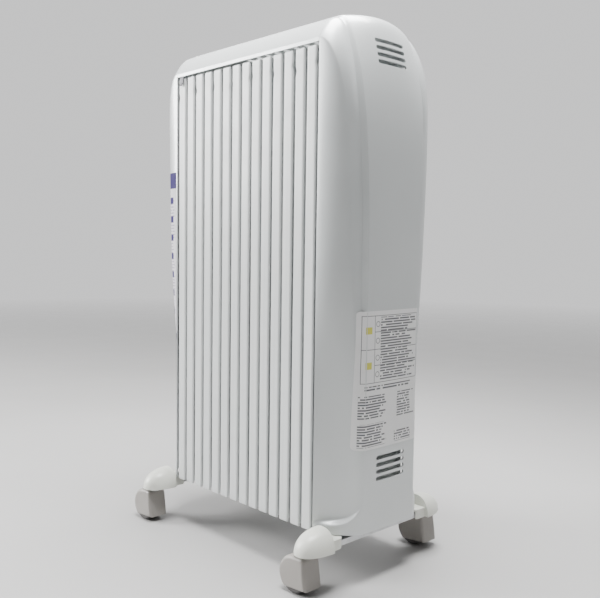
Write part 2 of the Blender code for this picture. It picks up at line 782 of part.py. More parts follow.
def make_caster_bar(name, side):
    """Steel bar across under the body, with a lug for the clamp on the header."""
    thickness = BAR_HIGH - BAR_LOW
    middle = (BAR_HIGH + BAR_LOW) / 2
    round_centre = 0.100
    outline = [
        *arc((0, round_centre), BAR_HALF, 0, 180, 7),
        *arc((0, -round_centre), BAR_HALF, 180, 360, 7),
    ]
    mesh = outline_mesh(name, outline, thickness)
    place = (side * SWIVEL_X, 0, middle)
    bar = add_object(name, mesh, STEEL, location=place, smooth=False)
    inward = sorted((0.0, side * (CLAMP_X - 0.012 - SWIVEL_X)))
    lug = box_mesh(f"{name}_lug", (inward[0], -0.028, -thickness / 2), (inward[1], 0.028, thickness / 2))
    combine(bar, add_cutter(f"{name}_lug", lug, location=place), "UNION")
    holes = []
    for side_y in (-1, 1):
        holes.append((0, side_y * SWIVEL_Y, 0.0045))
        holes.append((side * (CLAMP_X - SWIVEL_X), side_y * clamp_leg(), CLAMP_WIRE + 0.0005))
    for index, (x, y, radius) in enumerate(holes):
        hole = cylinder_mesh(f"{name}_hole_{index}", radius, -0.02, 0.02, "Z", (x, y, 0), 10)
        combine(bar, add_cutter(f"{name}_hole_{index}", hole, location=place), "DIFFERENCE")


def clamp_leg():
    return HEADER_RADIUS + GAP * 2 + CLAMP_WIRE


def make_clamp(name, side):
    """U-bolt over the lower header, with a wing nut under the bar on each leg."""
    level = HEADER_HEIGHTS[0]
    x = side * CLAMP_X
    points = [(x, clamp_leg(), 0.0425)]
    points += [(x, y, z) for y, z in arc((0, level), clamp_leg(), 0, 180, 13)]
    points.append((x, -clamp_leg(), 0.0425))
    add_object(f"u_bolt_{name}", wire_mesh(f"u_bolt_{name}", points, CLAMP_WIRE), STEEL)
    for word, side_y in (("left", -1), ("right", 1)):
        make_wing_nut(f"wing_nut_{name}_{word}", (x, side_y * clamp_leg(), BAR_LOW - GAP))


def make_wing_nut(name, place):
    hub = cylinder_mesh(name, 0.0046, -0.0045, 0, "Z", segments=12)
    nut = add_object(name, hub, BRASS, location=place, smooth=False)
    wings = box_mesh(f"{name}_wings", (-0.0105, -0.0009, -0.0075), (0.0105, 0.0009, -0.0008))
    combine(nut, add_cutter(f"{name}_wings", wings, location=place), "UNION")
    hole = cylinder_mesh(f"{name}_hole", CLAMP_WIRE + GAP, -0.02, 0.02, "Z", segments=12)
    combine(nut, add_cutter(f"{name}_hole", hole, location=place), "DIFFERENCE")


# ------------------------------------------------------------------ casters
def hood_outline():
    """Side view of a caster hood: round behind, with a leaning flat front."""
    centre = (-TRAIL, HOOD_RADIUS)
    low_angle = 180 + math.degrees(math.asin((HOOD_RADIUS - HOOD_BOTTOM) / HOOD_RADIUS))
    return [
        (0.0085, HOOD_BOTTOM + 0.002),
        (0.0040, HOOD_TOP - 0.0008),
        *arc(centre, HOOD_RADIUS, 90, low_angle, 10),
    ]


def make_caster(name, side_x, side_y):
    """Stem, hood, axle and two wheels, about the upright swivel axis."""
    swivel = bpy.data.objects.new(f"{name}_swivel", None)
    swivel.parent = frame
    swivel.location = (side_x * SWIVEL_X, side_y * SWIVEL_Y, 0)
    parts.objects.link(swivel)

    stem_profile = [
        (0, 0.0610),
        (0.0034, 0.0610),
        (0.0040, 0.0604),
        (0.0040, 0.0484),
        (0.0074, 0.0484),
        (0.0074, HOOD_TOP + GAP),
        (0.0027, HOOD_TOP + GAP),
        (0.0027, 0.0400),
        (0, 0.0400),
    ]
    turned_object(f"{name}_stem", stem_profile, "Z", STEEL, swivel, (0, 0, 0), steps=10)

    upright = Matrix(((1, 0, 0), (0, 0, -1), (0, 1, 0))).to_4x4()
    mesh = outline_mesh(f"{name}_hood", hood_outline(), HOOD_WIDTH, upright)
    hood = add_object(f"{name}_hood", mesh, WARM_GREY, swivel)
    round_edges(hood, 0.0022, 1, 50)
    for index, side in enumerate((-1, 1)):
        bay_range = sorted((side * RIB_HALF, side * (RIB_HALF + BAY_WIDTH)))
        centre = (-TRAIL, 0, WHEEL_RADIUS)
        bay = cylinder_mesh(f"{name}_bay", BAY_RADIUS, *bay_range, "Y", centre, 14)
        combine(hood, add_cutter(f"{name}_bay_{index}", bay, swivel), "DIFFERENCE")
    reach = HOOD_WIDTH / 2 - 0.0007
    bore = cylinder_mesh(f"{name}_bore", AXLE_RADIUS + GAP, -reach, reach, "Y", (-TRAIL, 0, WHEEL_RADIUS), 8)
    combine(hood, add_cutter(f"{name}_bore", bore, swivel), "DIFFERENCE")
    socket = cylinder_mesh(f"{name}_socket", 0.0030, 0.0385, 0.05, "Z", segments=8)
    combine(hood, add_cutter(f"{name}_socket", socket, swivel), "DIFFERENCE")

    axle_half = reach - GAP
    centre = (-TRAIL, 0, WHEEL_RADIUS)
    axle = cylinder_mesh(f"{name}_axle", AXLE_RADIUS, -axle_half, axle_half, "Y", centre, 8)
    add_object(f"{name}_axle", axle, STEEL, swivel)

    half = WHEEL_WIDTH / 2
    wheel_profile = [
        (AXLE_RADIUS + GAP * 2, half),
        (WHEEL_RADIUS - 0.0022, half),
        (WHEEL_RADIUS, half - 0.0022),
        (WHEEL_RADIUS, -half + 0.0022),
        (WHEEL_RADIUS - 0.0022, -half),
        (AXLE_RADIUS + GAP * 2, -half),
    ]
    for word, side in (("left", -1), ("right", 1)):
        location = (-TRAIL, side * WHEEL_OFFSET, WHEEL_RADIUS)
        wheel_name = f"{name}_wheel_{word}"
        turned_object(wheel_name, wheel_profile, "Y", WARM_GREY, swivel, location, True, steps=20)


# ------------------------------------------------------------------- assembly
make_fin_elements()
make_heating_element()
make_element_flange()
make_header_plugs()
make_covers()
make_mounting_plates()
make_control_panel()
make_knob()
make_rockers()
make_lens()
make_electrics()
make_gland()
for end_name, end_side in (("front", -1), ("rear", 1)):
    make_caster_bar(f"caster_bar_{end_name}", end_side)
    make_clamp(end_name, end_side)
    for side_name, y_side in (("left", -1), ("right", 1)):
        make_foot(f"caster_foot_{end_name}_{side_name}", end_side, y_side)
        make_caster(f"caster_{end_name}_{side_name}", end_side, y_side)
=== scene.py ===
"""Looks of an oil filled radiator heater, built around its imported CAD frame.

Metres, +Z up, in the CAD's own frame: X runs along the row of elements, from the
control end (-X) to the rear end (+X), and Y through the thickness.
"""

import json
import math
import random

import bmesh
import bpy
from mathutils import Matrix, Vector, noise


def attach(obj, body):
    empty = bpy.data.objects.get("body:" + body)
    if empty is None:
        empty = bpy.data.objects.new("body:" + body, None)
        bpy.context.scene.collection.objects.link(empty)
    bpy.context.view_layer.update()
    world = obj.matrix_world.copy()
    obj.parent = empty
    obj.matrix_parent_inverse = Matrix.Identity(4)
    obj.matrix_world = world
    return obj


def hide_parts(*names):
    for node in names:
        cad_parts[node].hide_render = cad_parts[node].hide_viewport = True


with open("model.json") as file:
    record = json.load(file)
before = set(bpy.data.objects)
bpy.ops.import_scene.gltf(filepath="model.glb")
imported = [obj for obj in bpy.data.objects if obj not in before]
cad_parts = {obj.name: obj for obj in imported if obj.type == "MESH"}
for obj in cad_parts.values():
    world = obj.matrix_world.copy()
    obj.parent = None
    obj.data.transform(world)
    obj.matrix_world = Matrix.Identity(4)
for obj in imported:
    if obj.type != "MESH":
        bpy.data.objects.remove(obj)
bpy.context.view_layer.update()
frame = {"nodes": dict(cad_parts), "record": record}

# The heater is modelled about the middle of its elements, which is this far from
# the middle of the whole.
SHIFT = 0.00525

ELEMENTS = 7
PITCH = 0.0384
SLAT_FACE = 0.083
SLAT_BOTTOM = 0.06
SLAT_TOP = 0.6098
SEAM_X = 0.1365
COVER_BOTTOM = 0.06
RIM_BOTTOM = 0.613
RIM_TOP = 0.617
FAN_HEIGHT = 0.52
CREASE_DEPTH = 0.036
CREASE_START = 0.357
CREASE_FLARE_START = 0.49
CREASE_Y = 0.04865  # at floor level
CREASE_SLOPE = 0.04
CREASE_SHARE = 0.74  # the crease's place between the slats' corner (0) and the band (1)
CRESCENT_LEAN = 0.839
BAND_HALF = 0.0438
BAND_FLARE = 0.0075
BAND_FLARE_START = 0.4
BAND_FLARE_REACH = 0.17
GROOVE_WIDTH = 0.0049
SCOOP_FULL = 0.13  # below this height the crease and groove are a plain scoop
SCOOP_FADE = 0.25  # and this far above it they are back in full
LEDGE_HEIGHT = 0.0703
LEDGE_RISE = 0.027
STRIP_BULGE = 0.0006
STRIP_BULGE_TOP = 0.007
WALL = 0.0022
FILM = 0.00012
VENT_LENGTH = 0.05
VENT_HEIGHT = 0.0048
VENT_PITCH = 0.0082
HEADERS = (0.105, 0.575)
PANEL_X = -0.18
DIAL_Z = 0.462
LAMP_Z = 0.428
ROCKER_Z = 0.402
ROCKER_Y = 0.013
GLAND_Z = 0.09
SWIVEL_X = 0.1545
SWIVEL_Y = 0.106
TRAIL = 0.0135
WHEEL_RADIUS = 0.019
WHEEL_OFFSET = 0.00675
WHEEL_HALF = 0.0048


# Small maths
def lerp(a, b, t):
    return a + (b - a) * t


def smoothstep(t):
    t = min(max(t, 0.0), 1.0)
    return t * t * (3 - 2 * t)


def steps(count):
    return [i / count for i in range(count + 1)]


def arc(centre, radius, start, end, count):
    for t in steps(count):
        a = math.radians(lerp(start, end, t))
        yield (centre[0] + radius * math.cos(a), centre[1] + radius * math.sin(a))


# Materials
class Nodes:
    """A node tree being built around a Principled shader."""

    def __init__(self, name):
        self.material = bpy.data.materials.new(name)
        self.material.use_nodes = True
        self.tree = self.material.node_tree
        self.shader = self.tree.nodes["Principled BSDF"]
        self.place = self.add("ShaderNodeTexCoord").outputs["Object"]

    def add(self, kind, **settings):
        node = self.tree.nodes.new(kind)
        for key, value in settings.items():
            setattr(node, key, value)
        return node

    def link(self, source, target):
        self.tree.links.new(source, target)

    def put(self, socket, value):
        if isinstance(value, bpy.types.NodeSocket):
            self.link(value, socket)
        else:
            socket.default_value = value

    def feed(self, node, **values):
        """Link or set a node's inputs by name."""
        for key, value in values.items():
            self.put(node.inputs[key.replace("_", " ")], value)
        return node.outputs

    def set(self, **values):
        self.feed(self.shader, **values)

    def stretched(self, scale):
        node = self.add("ShaderNodeMapping")
        return self.feed(node, Vector=self.place, Scale=scale)["Vector"]

    def noise(self, scale, detail=3.0, rough=0.5, vector=None):
        node = self.add("ShaderNodeTexNoise")
        self.feed(node, Vector=vector or self.place, Scale=scale, Detail=detail, Roughness=rough)
        return node.outputs["Fac"]

    def spots(self, scale):
        node = self.add("ShaderNodeTexVoronoi")
        return self.feed(node, Vector=self.place, Scale=scale)["Distance"]

    def ranged(self, value, low, high, to_low, to_high):
        node = self.add("ShaderNodeMapRange")
        self.feed(node, Value=value, From_Min=low, From_Max=high, To_Min=to_low, To_Max=to_high)
        return node.outputs["Result"]

    def swing(self, noise, to_low, to_high):
        """A noise's usual swing mapped to a range."""
        return self.ranged(noise, 0.3, 0.7, to_low, to_high)

    def maths(self, operation, *values):
        node = self.add("ShaderNodeMath", operation=operation)
        for socket, value in zip(node.inputs, values):
            self.put(socket, value)
        return node.outputs[0]

    def times(self, a, b):
        return self.maths("MULTIPLY", a, b)

    def mixed(self, factor, *colours):
        node = self.add("ShaderNodeMix", data_type="RGBA")
        a, b = ((*c, 1.0) if isinstance(c, tuple) else c for c in colours)
        return self.feed(node, Factor=factor, A=a, B=b)["Result"]

    def bump(self, height, distance, strength=1.0, **under):
        node = self.add("ShaderNodeBump")
        return self.feed(node, Height=height, Distance=distance, Strength=strength, **under)["Normal"]

    def axis(self, name, vector=None):
        node = self.add("ShaderNodeSeparateXYZ")
        return self.feed(node, Vector=vector or self.place)[name]


def shade(colour, factor):
    return tuple(min(c * factor, 1.0) for c in colour)


def moulded(
    name, colour, rough, spread=0.05, mottle=14.0, vary=0.03, grain=1800.0, depth=0.00002, dust=0.0,
    **more
):
    """Moulded plastic: faint flow mottling, fine grain, uneven gloss and a little dust on top."""
    n = Nodes(name)
    flow = n.noise(mottle, 4.0, 0.6)
    base = n.mixed(n.swing(flow, 0, 1), shade(colour, 1 - vary), shade(colour, 1 + vary))
    if dust:
        normal = n.add("ShaderNodeNewGeometry").outputs["Normal"]
        flat = n.ranged(n.axis("Z", normal), 0.55, 1.0, 0, dust)
        settled = n.times(flat, n.ranged(n.noise(90, 5), 0.35, 0.7, 0, 1))
        base = n.mixed(settled, base, (0.5, 0.48, 0.45))
    smear = n.noise(mottle * 2.7, 5.0, 0.65)
    n.set(Base_Color=base, Roughness=n.swing(smear, rough - spread, rough + spread))
    fine = n.bump(n.noise(grain, 2.0), depth, 0.6)
    wave = n.bump(n.noise(mottle * 1.6, 2.0), depth * 5, 0.25, Normal=fine)
    n.set(Normal=wave, **more)
    return n.material


def cover_material():
    """Pearl grey lacquer: tiny flakes under a clear gloss."""
    n = Nodes("pearl_cover")
    flow = n.noise(7.0, 4.0, 0.6)
    base = n.mixed(n.swing(flow, 0, 1), (0.6, 0.628, 0.63), (0.64, 0.665, 0.665))
    flakes = n.ranged(n.spots(5200.0), 0.0, 0.55, 1.0, 0.0)
    base = n.mixed(n.times(flakes, 0.22), base, (0.86, 0.88, 0.88))
    scuff = n.ranged(n.noise(38.0, 6.0, 0.7), 0.52, 0.75, 0.0, 1.0)
    wear = n.maths("ADD", n.noise(11.0, 4.0), n.times(scuff, 0.35))
    flake_normal = n.bump(n.noise(4200.0, 1.0), 0.00002, 0.35)
    n.set(Base_Color=base, Roughness=n.ranged(wear, 0.3, 0.95, 0.31, 0.44))
    n.set(Normal=n.bump(n.noise(22.0, 2.0), 0.0002, 0.12, Normal=flake_normal))
    n.set(Metallic=0.22, Coat_Weight=0.55, Coat_Roughness=0.13)
    return n.material


def slat_material():
    """Baked paint on pressed sheet: faint vertical drawing marks, orange peel and faint patches of
    grime.
    """
    n = Nodes("slat_paint")
    drawn = n.noise(1.0, 4.0, 0.55, n.stretched((260.0, 260.0, 5.0)))
    base = n.mixed(n.swing(drawn, 0, 1), (0.655, 0.68, 0.68), (0.725, 0.745, 0.742))
    grime = n.ranged(n.noise(30.0, 6.0, 0.7), 0.56, 0.8, 0.0, 0.22)
    base = n.mixed(grime, base, (0.5, 0.49, 0.46))
    rough = n.swing(n.noise(45.0, 4.0), 0.34, 0.46)
    peel = n.bump(n.noise(900.0, 2.0), 0.00004, 0.35)
    n.set(Base_Color=base, Roughness=rough, Normal=n.bump(drawn, 0.0001, 0.18, Normal=peel))
    n.set(Coat_Weight=0.12, Coat_Roughness=0.2)
    return n.material


def metal(name, colour, rough, streak):
    """Plated or machined metal with fine lines and a duller tarnish in patches."""
    n = Nodes(name)
    lines = n.noise(1.0, 4.0, 0.6, n.stretched(streak))
    tarnish = n.ranged(n.noise(55.0, 6.0, 0.7), 0.45, 0.75, 0.0, 1.0)
    base = n.mixed(tarnish, colour, shade(colour, 0.72))
    gloss = n.swing(lines, rough - 0.06, rough + 0.06)
    gloss = n.maths("ADD", gloss, n.times(tarnish, 0.12))
    n.set(Base_Color=base, Roughness=gloss, Metallic=1.0, Normal=n.bump(lines, 0.00005, 0.3))
    return n.material


def boxed(n, value, low, high, soft):
    """1 inside a range of a coordinate, 0 outside it."""
    up = n.ranged(value, low - soft, low + soft, 0, 1)
    down = n.ranged(value, high - soft, high + soft, 1, 0)
    return n.times(up, down)


def patch(n, across, up, window, soft):
    """1 inside a rectangle of two coordinates, 0 outside it."""
    left, right, low, high = window
    return n.times(boxed(n, across, left, right, soft), boxed(n, up, low, high, soft))


def product(n, *values):
    total = values[0]
    for value in values[1:]:
        total = n.times(total, value)
    return total


def either(n, *values):
    total = values[0]
    for value in values[1:]:
        total = n.maths("MAXIMUM", total, value)
    return total


def greeked(n, across, up, window, pitch, thick, seed):
    """Rows of plain dashes of uneven length in a window, where a label has small print."""
    left, right = window[:2]
    row = n.maths("FLOOR", n.maths("DIVIDE", up, pitch))
    within = n.maths("FRACT", n.maths("DIVIDE", up, pitch))
    stroke = boxed(n, within, 0.5 - thick / 2, 0.5 + thick / 2, 0.08)
    letter = n.maths("FLOOR", n.maths("DIVIDE", across, pitch * 0.62))
    cell = n.feed(n.add("ShaderNodeCombineXYZ"), X=letter, Y=row, Z=seed)["Vector"]
    gaps = n.add("ShaderNodeTexWhiteNoise", noise_dimensions="3D")
    dash = n.ranged(n.feed(gaps, Vector=cell)["Value"], 0.1, 0.14, 0.0, 1.0)
    ends = n.add("ShaderNodeTexWhiteNoise", noise_dimensions="1D")
    end = n.feed(ends, W=n.maths("ADD", row, seed * 7.3))["Value"]
    stop = n.maths("MULTIPLY_ADD", end, (right - left) * -0.35, right)
    tail = n.maths("LESS_THAN", across, stop)
    return product(n, stroke, dash, tail, patch(n, across, up, window, 0.0001))


def label_material():
    """White film with a ruled box, plain blocks and greeked lines."""
    n = Nodes("rating_label")
    y = n.axis("Y")
    z = n.axis("Z")
    fine = 0.00018
    thin = 0.00035
    left, right, low, high = -0.05, 0.045, 0.2335, 0.31
    column = left + 0.0185
    edge = 0.0004

    def rule(value, at):
        return boxed(n, value, at - thin, at + thin, fine)

    rows = [rule(z, lerp(low, high, t)) for t in (0.26, 0.5, 0.76)]
    short = n.times(either(n, rows[0], rows[2]), n.maths("GREATER_THAN", y, column))
    border = either(n, rule(y, left), rule(y, right), rule(z, low), rule(z, high))
    clip = patch(n, y, z, (left - edge, right + edge, low - edge, high + edge), fine)
    ink = n.times(either(n, border, rule(y, column), rows[1], short), clip)
    prints = (
        ((-0.022, 0.0435, 0.235, 0.3085), 0.0031, 0.54),
        ((-0.046, 0.042, 0.224, 0.23), 0.0034, 0.55),
        ((-0.052, -0.009, 0.193, 0.219), 0.0031, 0.56),
        ((0.009, 0.043, 0.19, 0.219), 0.0031, 0.54),
        ((-0.052, -0.004, 0.16, 0.187), 0.0031, 0.56),
        ((0.005, 0.043, 0.16, 0.174), 0.0031, 0.54),
    )
    for seed, (window, pitch, thick) in enumerate(prints, 1):
        ink = either(n, ink, greeked(n, y, z, window, pitch, thick, seed))
    for centre in (0.3005, 0.2815, 0.262, 0.243):
        dy = n.maths("SUBTRACT", y, -0.0265)
        dz = n.maths("SUBTRACT", z, centre)
        square = n.maths("ADD", n.times(dy, dy), n.times(dz, dz))
        ink = either(n, ink, boxed(n, n.maths("SQRT", square), 0.0026, 0.0033, fine))
    blocks = []
    for centre in (0.2935, 0.2535):
        window = (-0.0455, -0.036, centre - 0.004, centre + 0.004)
        blocks.append(patch(n, y, z, window, fine))
    paper = n.mixed(n.noise(60.0, 4.0), (0.76, 0.76, 0.76), (0.82, 0.82, 0.82))
    colour = n.mixed(either(n, *blocks), paper, (0.62, 0.6, 0.1))
    colour = n.mixed(n.times(ink, 0.92), colour, (0.05, 0.05, 0.06))
    n.set(Base_Color=colour, Roughness=n.swing(n.noise(35.0), 0.36, 0.5))
    n.set(Normal=n.bump(n.noise(700.0), 0.00003, 0.3), Coat_Weight=0.2, Coat_Roughness=0.25)
    return n.material


def sticker_material():
    """Tall sticker: white film with a deep violet head and plain violet tabs."""
    n = Nodes("promo_sticker")
    x = n.axis("X")
    z = n.axis("Z")
    head = n.maths("GREATER_THAN", z, 0.464)
    foot = n.maths("LESS_THAN", z, 0.264)
    tab_start, tab_pitch, tab_end = 0.25, 0.0255, 0.46
    cycle = n.maths("FRACT", n.maths("DIVIDE", n.maths("SUBTRACT", z, tab_start), tab_pitch))
    tabs = product(n, boxed(n, cycle, 0.58, 0.92, 0.02), boxed(n, x, -0.156, -0.1405, 0.0003))
    tabs = n.times(tabs, n.maths("LESS_THAN", z, tab_end))
    small = greeked(n, x, z, (-0.157, -0.136, 0.265, 0.453), 0.0042, 0.4, 9.0)
    white = n.mixed(n.noise(50.0, 4.0), (0.7, 0.69, 0.72), (0.76, 0.75, 0.78))
    colour = n.mixed(n.times(small, 0.55), white, (0.1, 0.06, 0.2))
    colour = n.mixed(either(n, head, tabs, foot), colour, (0.02, 0.008, 0.11))
    n.set(Base_Color=colour, Roughness=n.swing(n.noise(35.0), 0.45, 0.6))
    n.set(Normal=n.bump(n.noise(600.0), 0.00003, 0.3), Specular_IOR_Level=0.15)
    return n.material


COVER = cover_material()
SLAT = slat_material()
IVORY = moulded(
    "ivory_moulding", (0.735, 0.745, 0.68), 0.36, dust=0.1, Coat_Weight=0.15, Coat_Roughness=0.25
)
CASTER = moulded("caster_moulding", (0.315, 0.296, 0.275), 0.42, dust=0.18, vary=0.05)
TYRE = moulded(
    "tyre", (0.085, 0.08, 0.078), 0.55, mottle=60.0, vary=0.2, grain=900.0, depth=0.00008
)
PANEL = moulded("panel_moulding", (0.2, 0.215, 0.225), 0.45, grain=1100.0, depth=0.00008)
KNOB = moulded("knob_moulding", (0.72, 0.73, 0.72), 0.33, Coat_Weight=0.2, Coat_Roughness=0.2)
BLACK = moulded("switch_moulding", (0.03, 0.03, 0.033), 0.38, grain=1400.0, depth=0.00006)
LENS = moulded(
    "lens_moulding", (0.8, 0.28, 0.03), 0.14, spread=0.03, Transmission_Weight=0.35, IOR=1.49
)
PRINT = moulded("panel_print", (0.8, 0.8, 0.79), 0.5, grain=600.0)
ZINC = metal("zinc_plate", (0.6, 0.61, 0.62), 0.36, (900.0, 60.0, 900.0))
SPRING = metal("spring_steel", (0.07, 0.07, 0.075), 0.48, (60.0, 900.0, 900.0))
BRASS = metal("turned_brass", (0.72, 0.55, 0.27), 0.32, (900.0, 900.0, 60.0))
LABEL = label_material()
STICKER = sticker_material()


# Mesh tools
def finished(name, bm, matrix=None, facing=True):
    """The mesh of a bmesh, with its faces turned outwards unless they are already."""
    if facing:
        bmesh.ops.recalc_face_normals(bm, faces=bm.faces)
    if matrix is not None:
        bm.transform(matrix)
    mesh = bpy.data.meshes.new(name)
    bm.to_mesh(mesh)
    bm.free()
    return mesh


def linked(name, mesh):
    thing = bpy.data.objects.new(name, mesh)
    bpy.context.scene.collection.objects.link(thing)
    return thing


def settle(thing):
    """Apply an object's modifiers to its own mesh."""
    graph = bpy.context.evaluated_depsgraph_get()
    graph.update()
    mesh = bpy.data.meshes.new_from_object(thing.evaluated_get(graph))
    thing.modifiers.clear()
    thing.data = mesh


def combine(thing, meshes, operation):
    """Cut or join whole meshes, then drop the tools."""
    tools = []
    for mesh in meshes:
        tool = linked("tool", mesh)
        modifier = thing.modifiers.new("Boolean", "BOOLEAN")
        modifier.operation = operation
        modifier.solver = "EXACT"
        modifier.object = tool
        tools.append(tool)
    settle(thing)
    for tool in tools:
        bpy.data.objects.remove(tool, do_unlink=True)


def rounded(thing, width, segments=3, angle=40):
    bevel = thing.modifiers.new("Bevel", "BEVEL")
    bevel.width = width
    bevel.segments = segments
    bevel.limit_method = "ANGLE"
    bevel.angle_limit = math.radians(angle)
    bevel.harden_normals = False
    settle(thing)


def show(thing, material, body="root", nodes=(), sharp=32, weighted=True):
    """Give a piece its finish and tie it to the frame."""
    mesh = thing.data
    mesh.materials.clear()
    mesh.materials.append(material)
    mesh.shade_smooth()
    mesh.set_sharp_from_angle(angle=math.radians(sharp))
    if weighted:
        modifier = thing.modifiers.new("Normals", "WEIGHTED_NORMAL")
        modifier.keep_sharp = True
        settle(thing)
    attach(thing, body)
    for node in nodes:
        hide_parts(node)
    return thing


def skin(bm, rows, turned_over=False):
    """Fill between open rows of corners."""
    for low, high in zip(rows, rows[1:]):
        for a, b, c, d in zip(low, low[1:], high[1:], high):
            bm.faces.new((d, c, b, a) if turned_over else (a, b, c, d))


def wrap(bm, rings):
    """Fill between closed rings of corners, and close both ends."""
    bm.faces.new(rings[0])
    bm.faces.new(rings[-1])
    for low, high in zip(rings, rings[1:]):
        for i in range(len(low)):
            j = (i + 1) % len(low)
            bm.faces.new((low[i], low[j], high[j], high[i]))


def join_rings(bm, low, high, count):
    """Fill between two closed rings, either of which may be a single pole."""
    for i in range(count):
        j = (i + 1) % count
        corners = (low[i % len(low)], low[j % len(low)], high[j % len(high)], high[i % len(high)])
        unique = list(dict.fromkeys(corners))
        if len(unique) > 2:
            bm.faces.new(unique)


def prism(name, outline, low, high, matrix=None):
    """A flat outline in XY raised from low to high."""
    bm = bmesh.new()
    wrap(bm, [[bm.verts.new((x, y, z)) for x, y in outline] for z in (low, high)])
    return finished(name, bm, matrix)


def block(name, low, high):
    outline = [(low[0], low[1]), (high[0], low[1]), (high[0], high[1]), (low[0], high[1])]
    return prism(name, outline, low[2], high[2])


def rounded_box(low, high, radius, count=5):
    """Rounded rectangle between two corners, as an outline."""
    left, bottom, right, top = low[0] + radius, low[1] + radius, high[0] - radius, high[1] - radius
    points = []
    for x, y, start in ((right, top, 0), (left, top, 90), (left, bottom, 180), (right, bottom, 270)):
        points += arc((x, y), radius, start, start + 90, count)
    return points


def capsule(length, width, count=10):
    radius = width / 2
    reach = length / 2 - radius
    return [*arc((reach, 0), radius, -90, 90, count), *arc((-reach, 0), radius, 90, 270, count)]


def turned(name, profile, count, matrix=None, closed=False):
    """A profile of (radius, height) pairs turned about Z."""
    bm = bmesh.new()
    rings = []
    for radius, height in profile:
        if radius < 1e-6:
            rings.append([bm.verts.new((0, 0, height))])
            continue
        ring = []
        for i in range(count):
            a = 2 * math.pi * i / count
            ring.append(bm.verts.new((radius * math.cos(a), radius * math.sin(a), height)))
        rings.append(ring)
    pairs = list(zip(rings, rings[1:]))
    if closed:
        pairs.append((rings[-1], rings[0]))
    for low, high in pairs:
        join_rings(bm, low, high, count)
    return finished(name, bm, matrix)


def drum(name, radius, low, high, count, matrix=None):
    """A plain cylinder along Z."""
    return turned(name, [(0, low), (radius, low), (radius, high), (0, high)], count, matrix)


def moved(x, y, z):
    return Matrix.Translation((x, y, z))


TO_X = Matrix.Rotation(math.pi / 2, 4, "Y")
TO_MINUS_X = Matrix.Rotation(-math.pi / 2, 4, "Y")
TO_Y = Matrix.Rotation(-math.pi / 2, 4, "X")
# Raises an XY outline so that its X lies along world Y, its Y along Z, and its depth along X.
ON_WALL = Matrix(((0, 0, 1), (1, 0, 0), (0, 1, 0))).to_4x4()
# Stands an XY outline up, so that its X stays along world X and its Y lies along Z.
UPRIGHT = Matrix(((1, 0, 0), (0, 0, -1), (0, 1, 0))).to_4x4()
# Turns a piece made along Z to face out of the control end, with its Y upwards.
FACING_OUT = Matrix(((0, 0, -1), (-1, 0, 0), (0, 1, 0))).to_4x4()
SHIFTED = moved(SHIFT, 0, 0)


# Cover surface
def band_rail(side):
    """End face, start of the lean, top, lean and corner power at a share of the band's half width."""
    crown = (0.1815, 0.47, 0.652, 0.024, 18)
    edge = (0.1805, 0.46, 0.647, 0.033, 22)
    return tuple(lerp(a, b, side ** 2) for a, b in zip(crown, edge))


def band_half(z):
    return BAND_HALF + BAND_FLARE * smoothstep((z - BAND_FLARE_START) / BAND_FLARE_REACH)


FOOT_RAIL = (0.1745, 0.46, 0.643, 0.029, 22)


def rail_x(rail, z):
    end_x, lean_start, top, lean, _ = rail
    return end_x - lean * (max(z - lean_start, 0.0) / (top - lean_start)) ** 3


def bisected(low, high, before):
    """Closest places below and above where a test turns false."""
    for _ in range(40):
        middle = (low + high) / 2
        if before(middle):
            low = middle
        else:
            high = middle
    return low, high


def rail_point(rail, angle):
    """Where a ray from the fan's pivot meets a rail with its corner rounded."""
    top, power = rail[2], rail[4]
    across, upward = math.cos(angle), math.sin(angle)

    def inside(reach):
        return SEAM_X + reach * across <= rail_x(rail, FAN_HEIGHT + reach * upward)

    side, _ = bisected(0.0, 0.4, inside)
    flat = (top - FAN_HEIGHT) / upward
    reach = (side ** -power + flat ** -power) ** (-1 / power)
    return SEAM_X + reach * across, FAN_HEIGHT + reach * upward


def crease_at(z):
    rise = min(max((z - CREASE_START) / (RIM_TOP - CREASE_START), 0.0), 1.0)
    x = SEAM_X + CREASE_DEPTH * math.sqrt(1 - rise ** 5)
    flare = min(max((z - CREASE_FLARE_START) / (RIM_TOP - CREASE_FLARE_START), 0.0), 1.0)
    widening = SLAT_FACE - CREASE_Y - CREASE_SLOPE * RIM_TOP
    return x, CREASE_Y + CREASE_SLOPE * z + widening * flare ** 2


def crease_point(angle):
    def below(z):
        return math.atan2(z - FAN_HEIGHT, max(crease_at(z)[0] - SEAM_X, 0.0)) < angle

    _, z = bisected(FAN_HEIGHT, RIM_TOP, below)
    return Vector((*crease_at(z), z))


CRESCENT = [smoothstep(t) * 0.35 + t * 0.65 for t in steps(16)]
STRIP = [0.06, 0.15, 0.3, 0.45, 0.6, 0.75, 0.9]
STEP = steps(9)[:-1]
BAND = [1 - t for t in (0, 0.03, 0.08, 0.16, 0.27, 0.4, 0.55, 0.7, 0.85, 1.0)]
SECTION_POINTS = len(CRESCENT) + len(STRIP) + len(STEP) + len(BAND)


def half_section(corner, crease, foot, edge, band, bulge):
    """Points across half a section: crescent, strip, step up to the band, and the band."""
    lean_x = crease.x - CRESCENT_LEAN * (corner.y - crease.y)
    turn = Vector((max(lean_x, corner.x), corner.y, (corner.z + crease.z) / 2))
    points = [corner.lerp(turn, t).lerp(turn.lerp(crease, t), t) for t in CRESCENT]
    for t in STRIP:
        points.append(crease.lerp(foot, t) + bulge * 4 * t * (1 - t))
    for t in STEP:
        rise = smoothstep(t)
        y = lerp(foot.y, edge.y, lerp(t, rise, 0.25))
        points.append(Vector((lerp(foot.x, edge.x, rise), y, lerp(foot.z, edge.z, rise))))
    return points + band


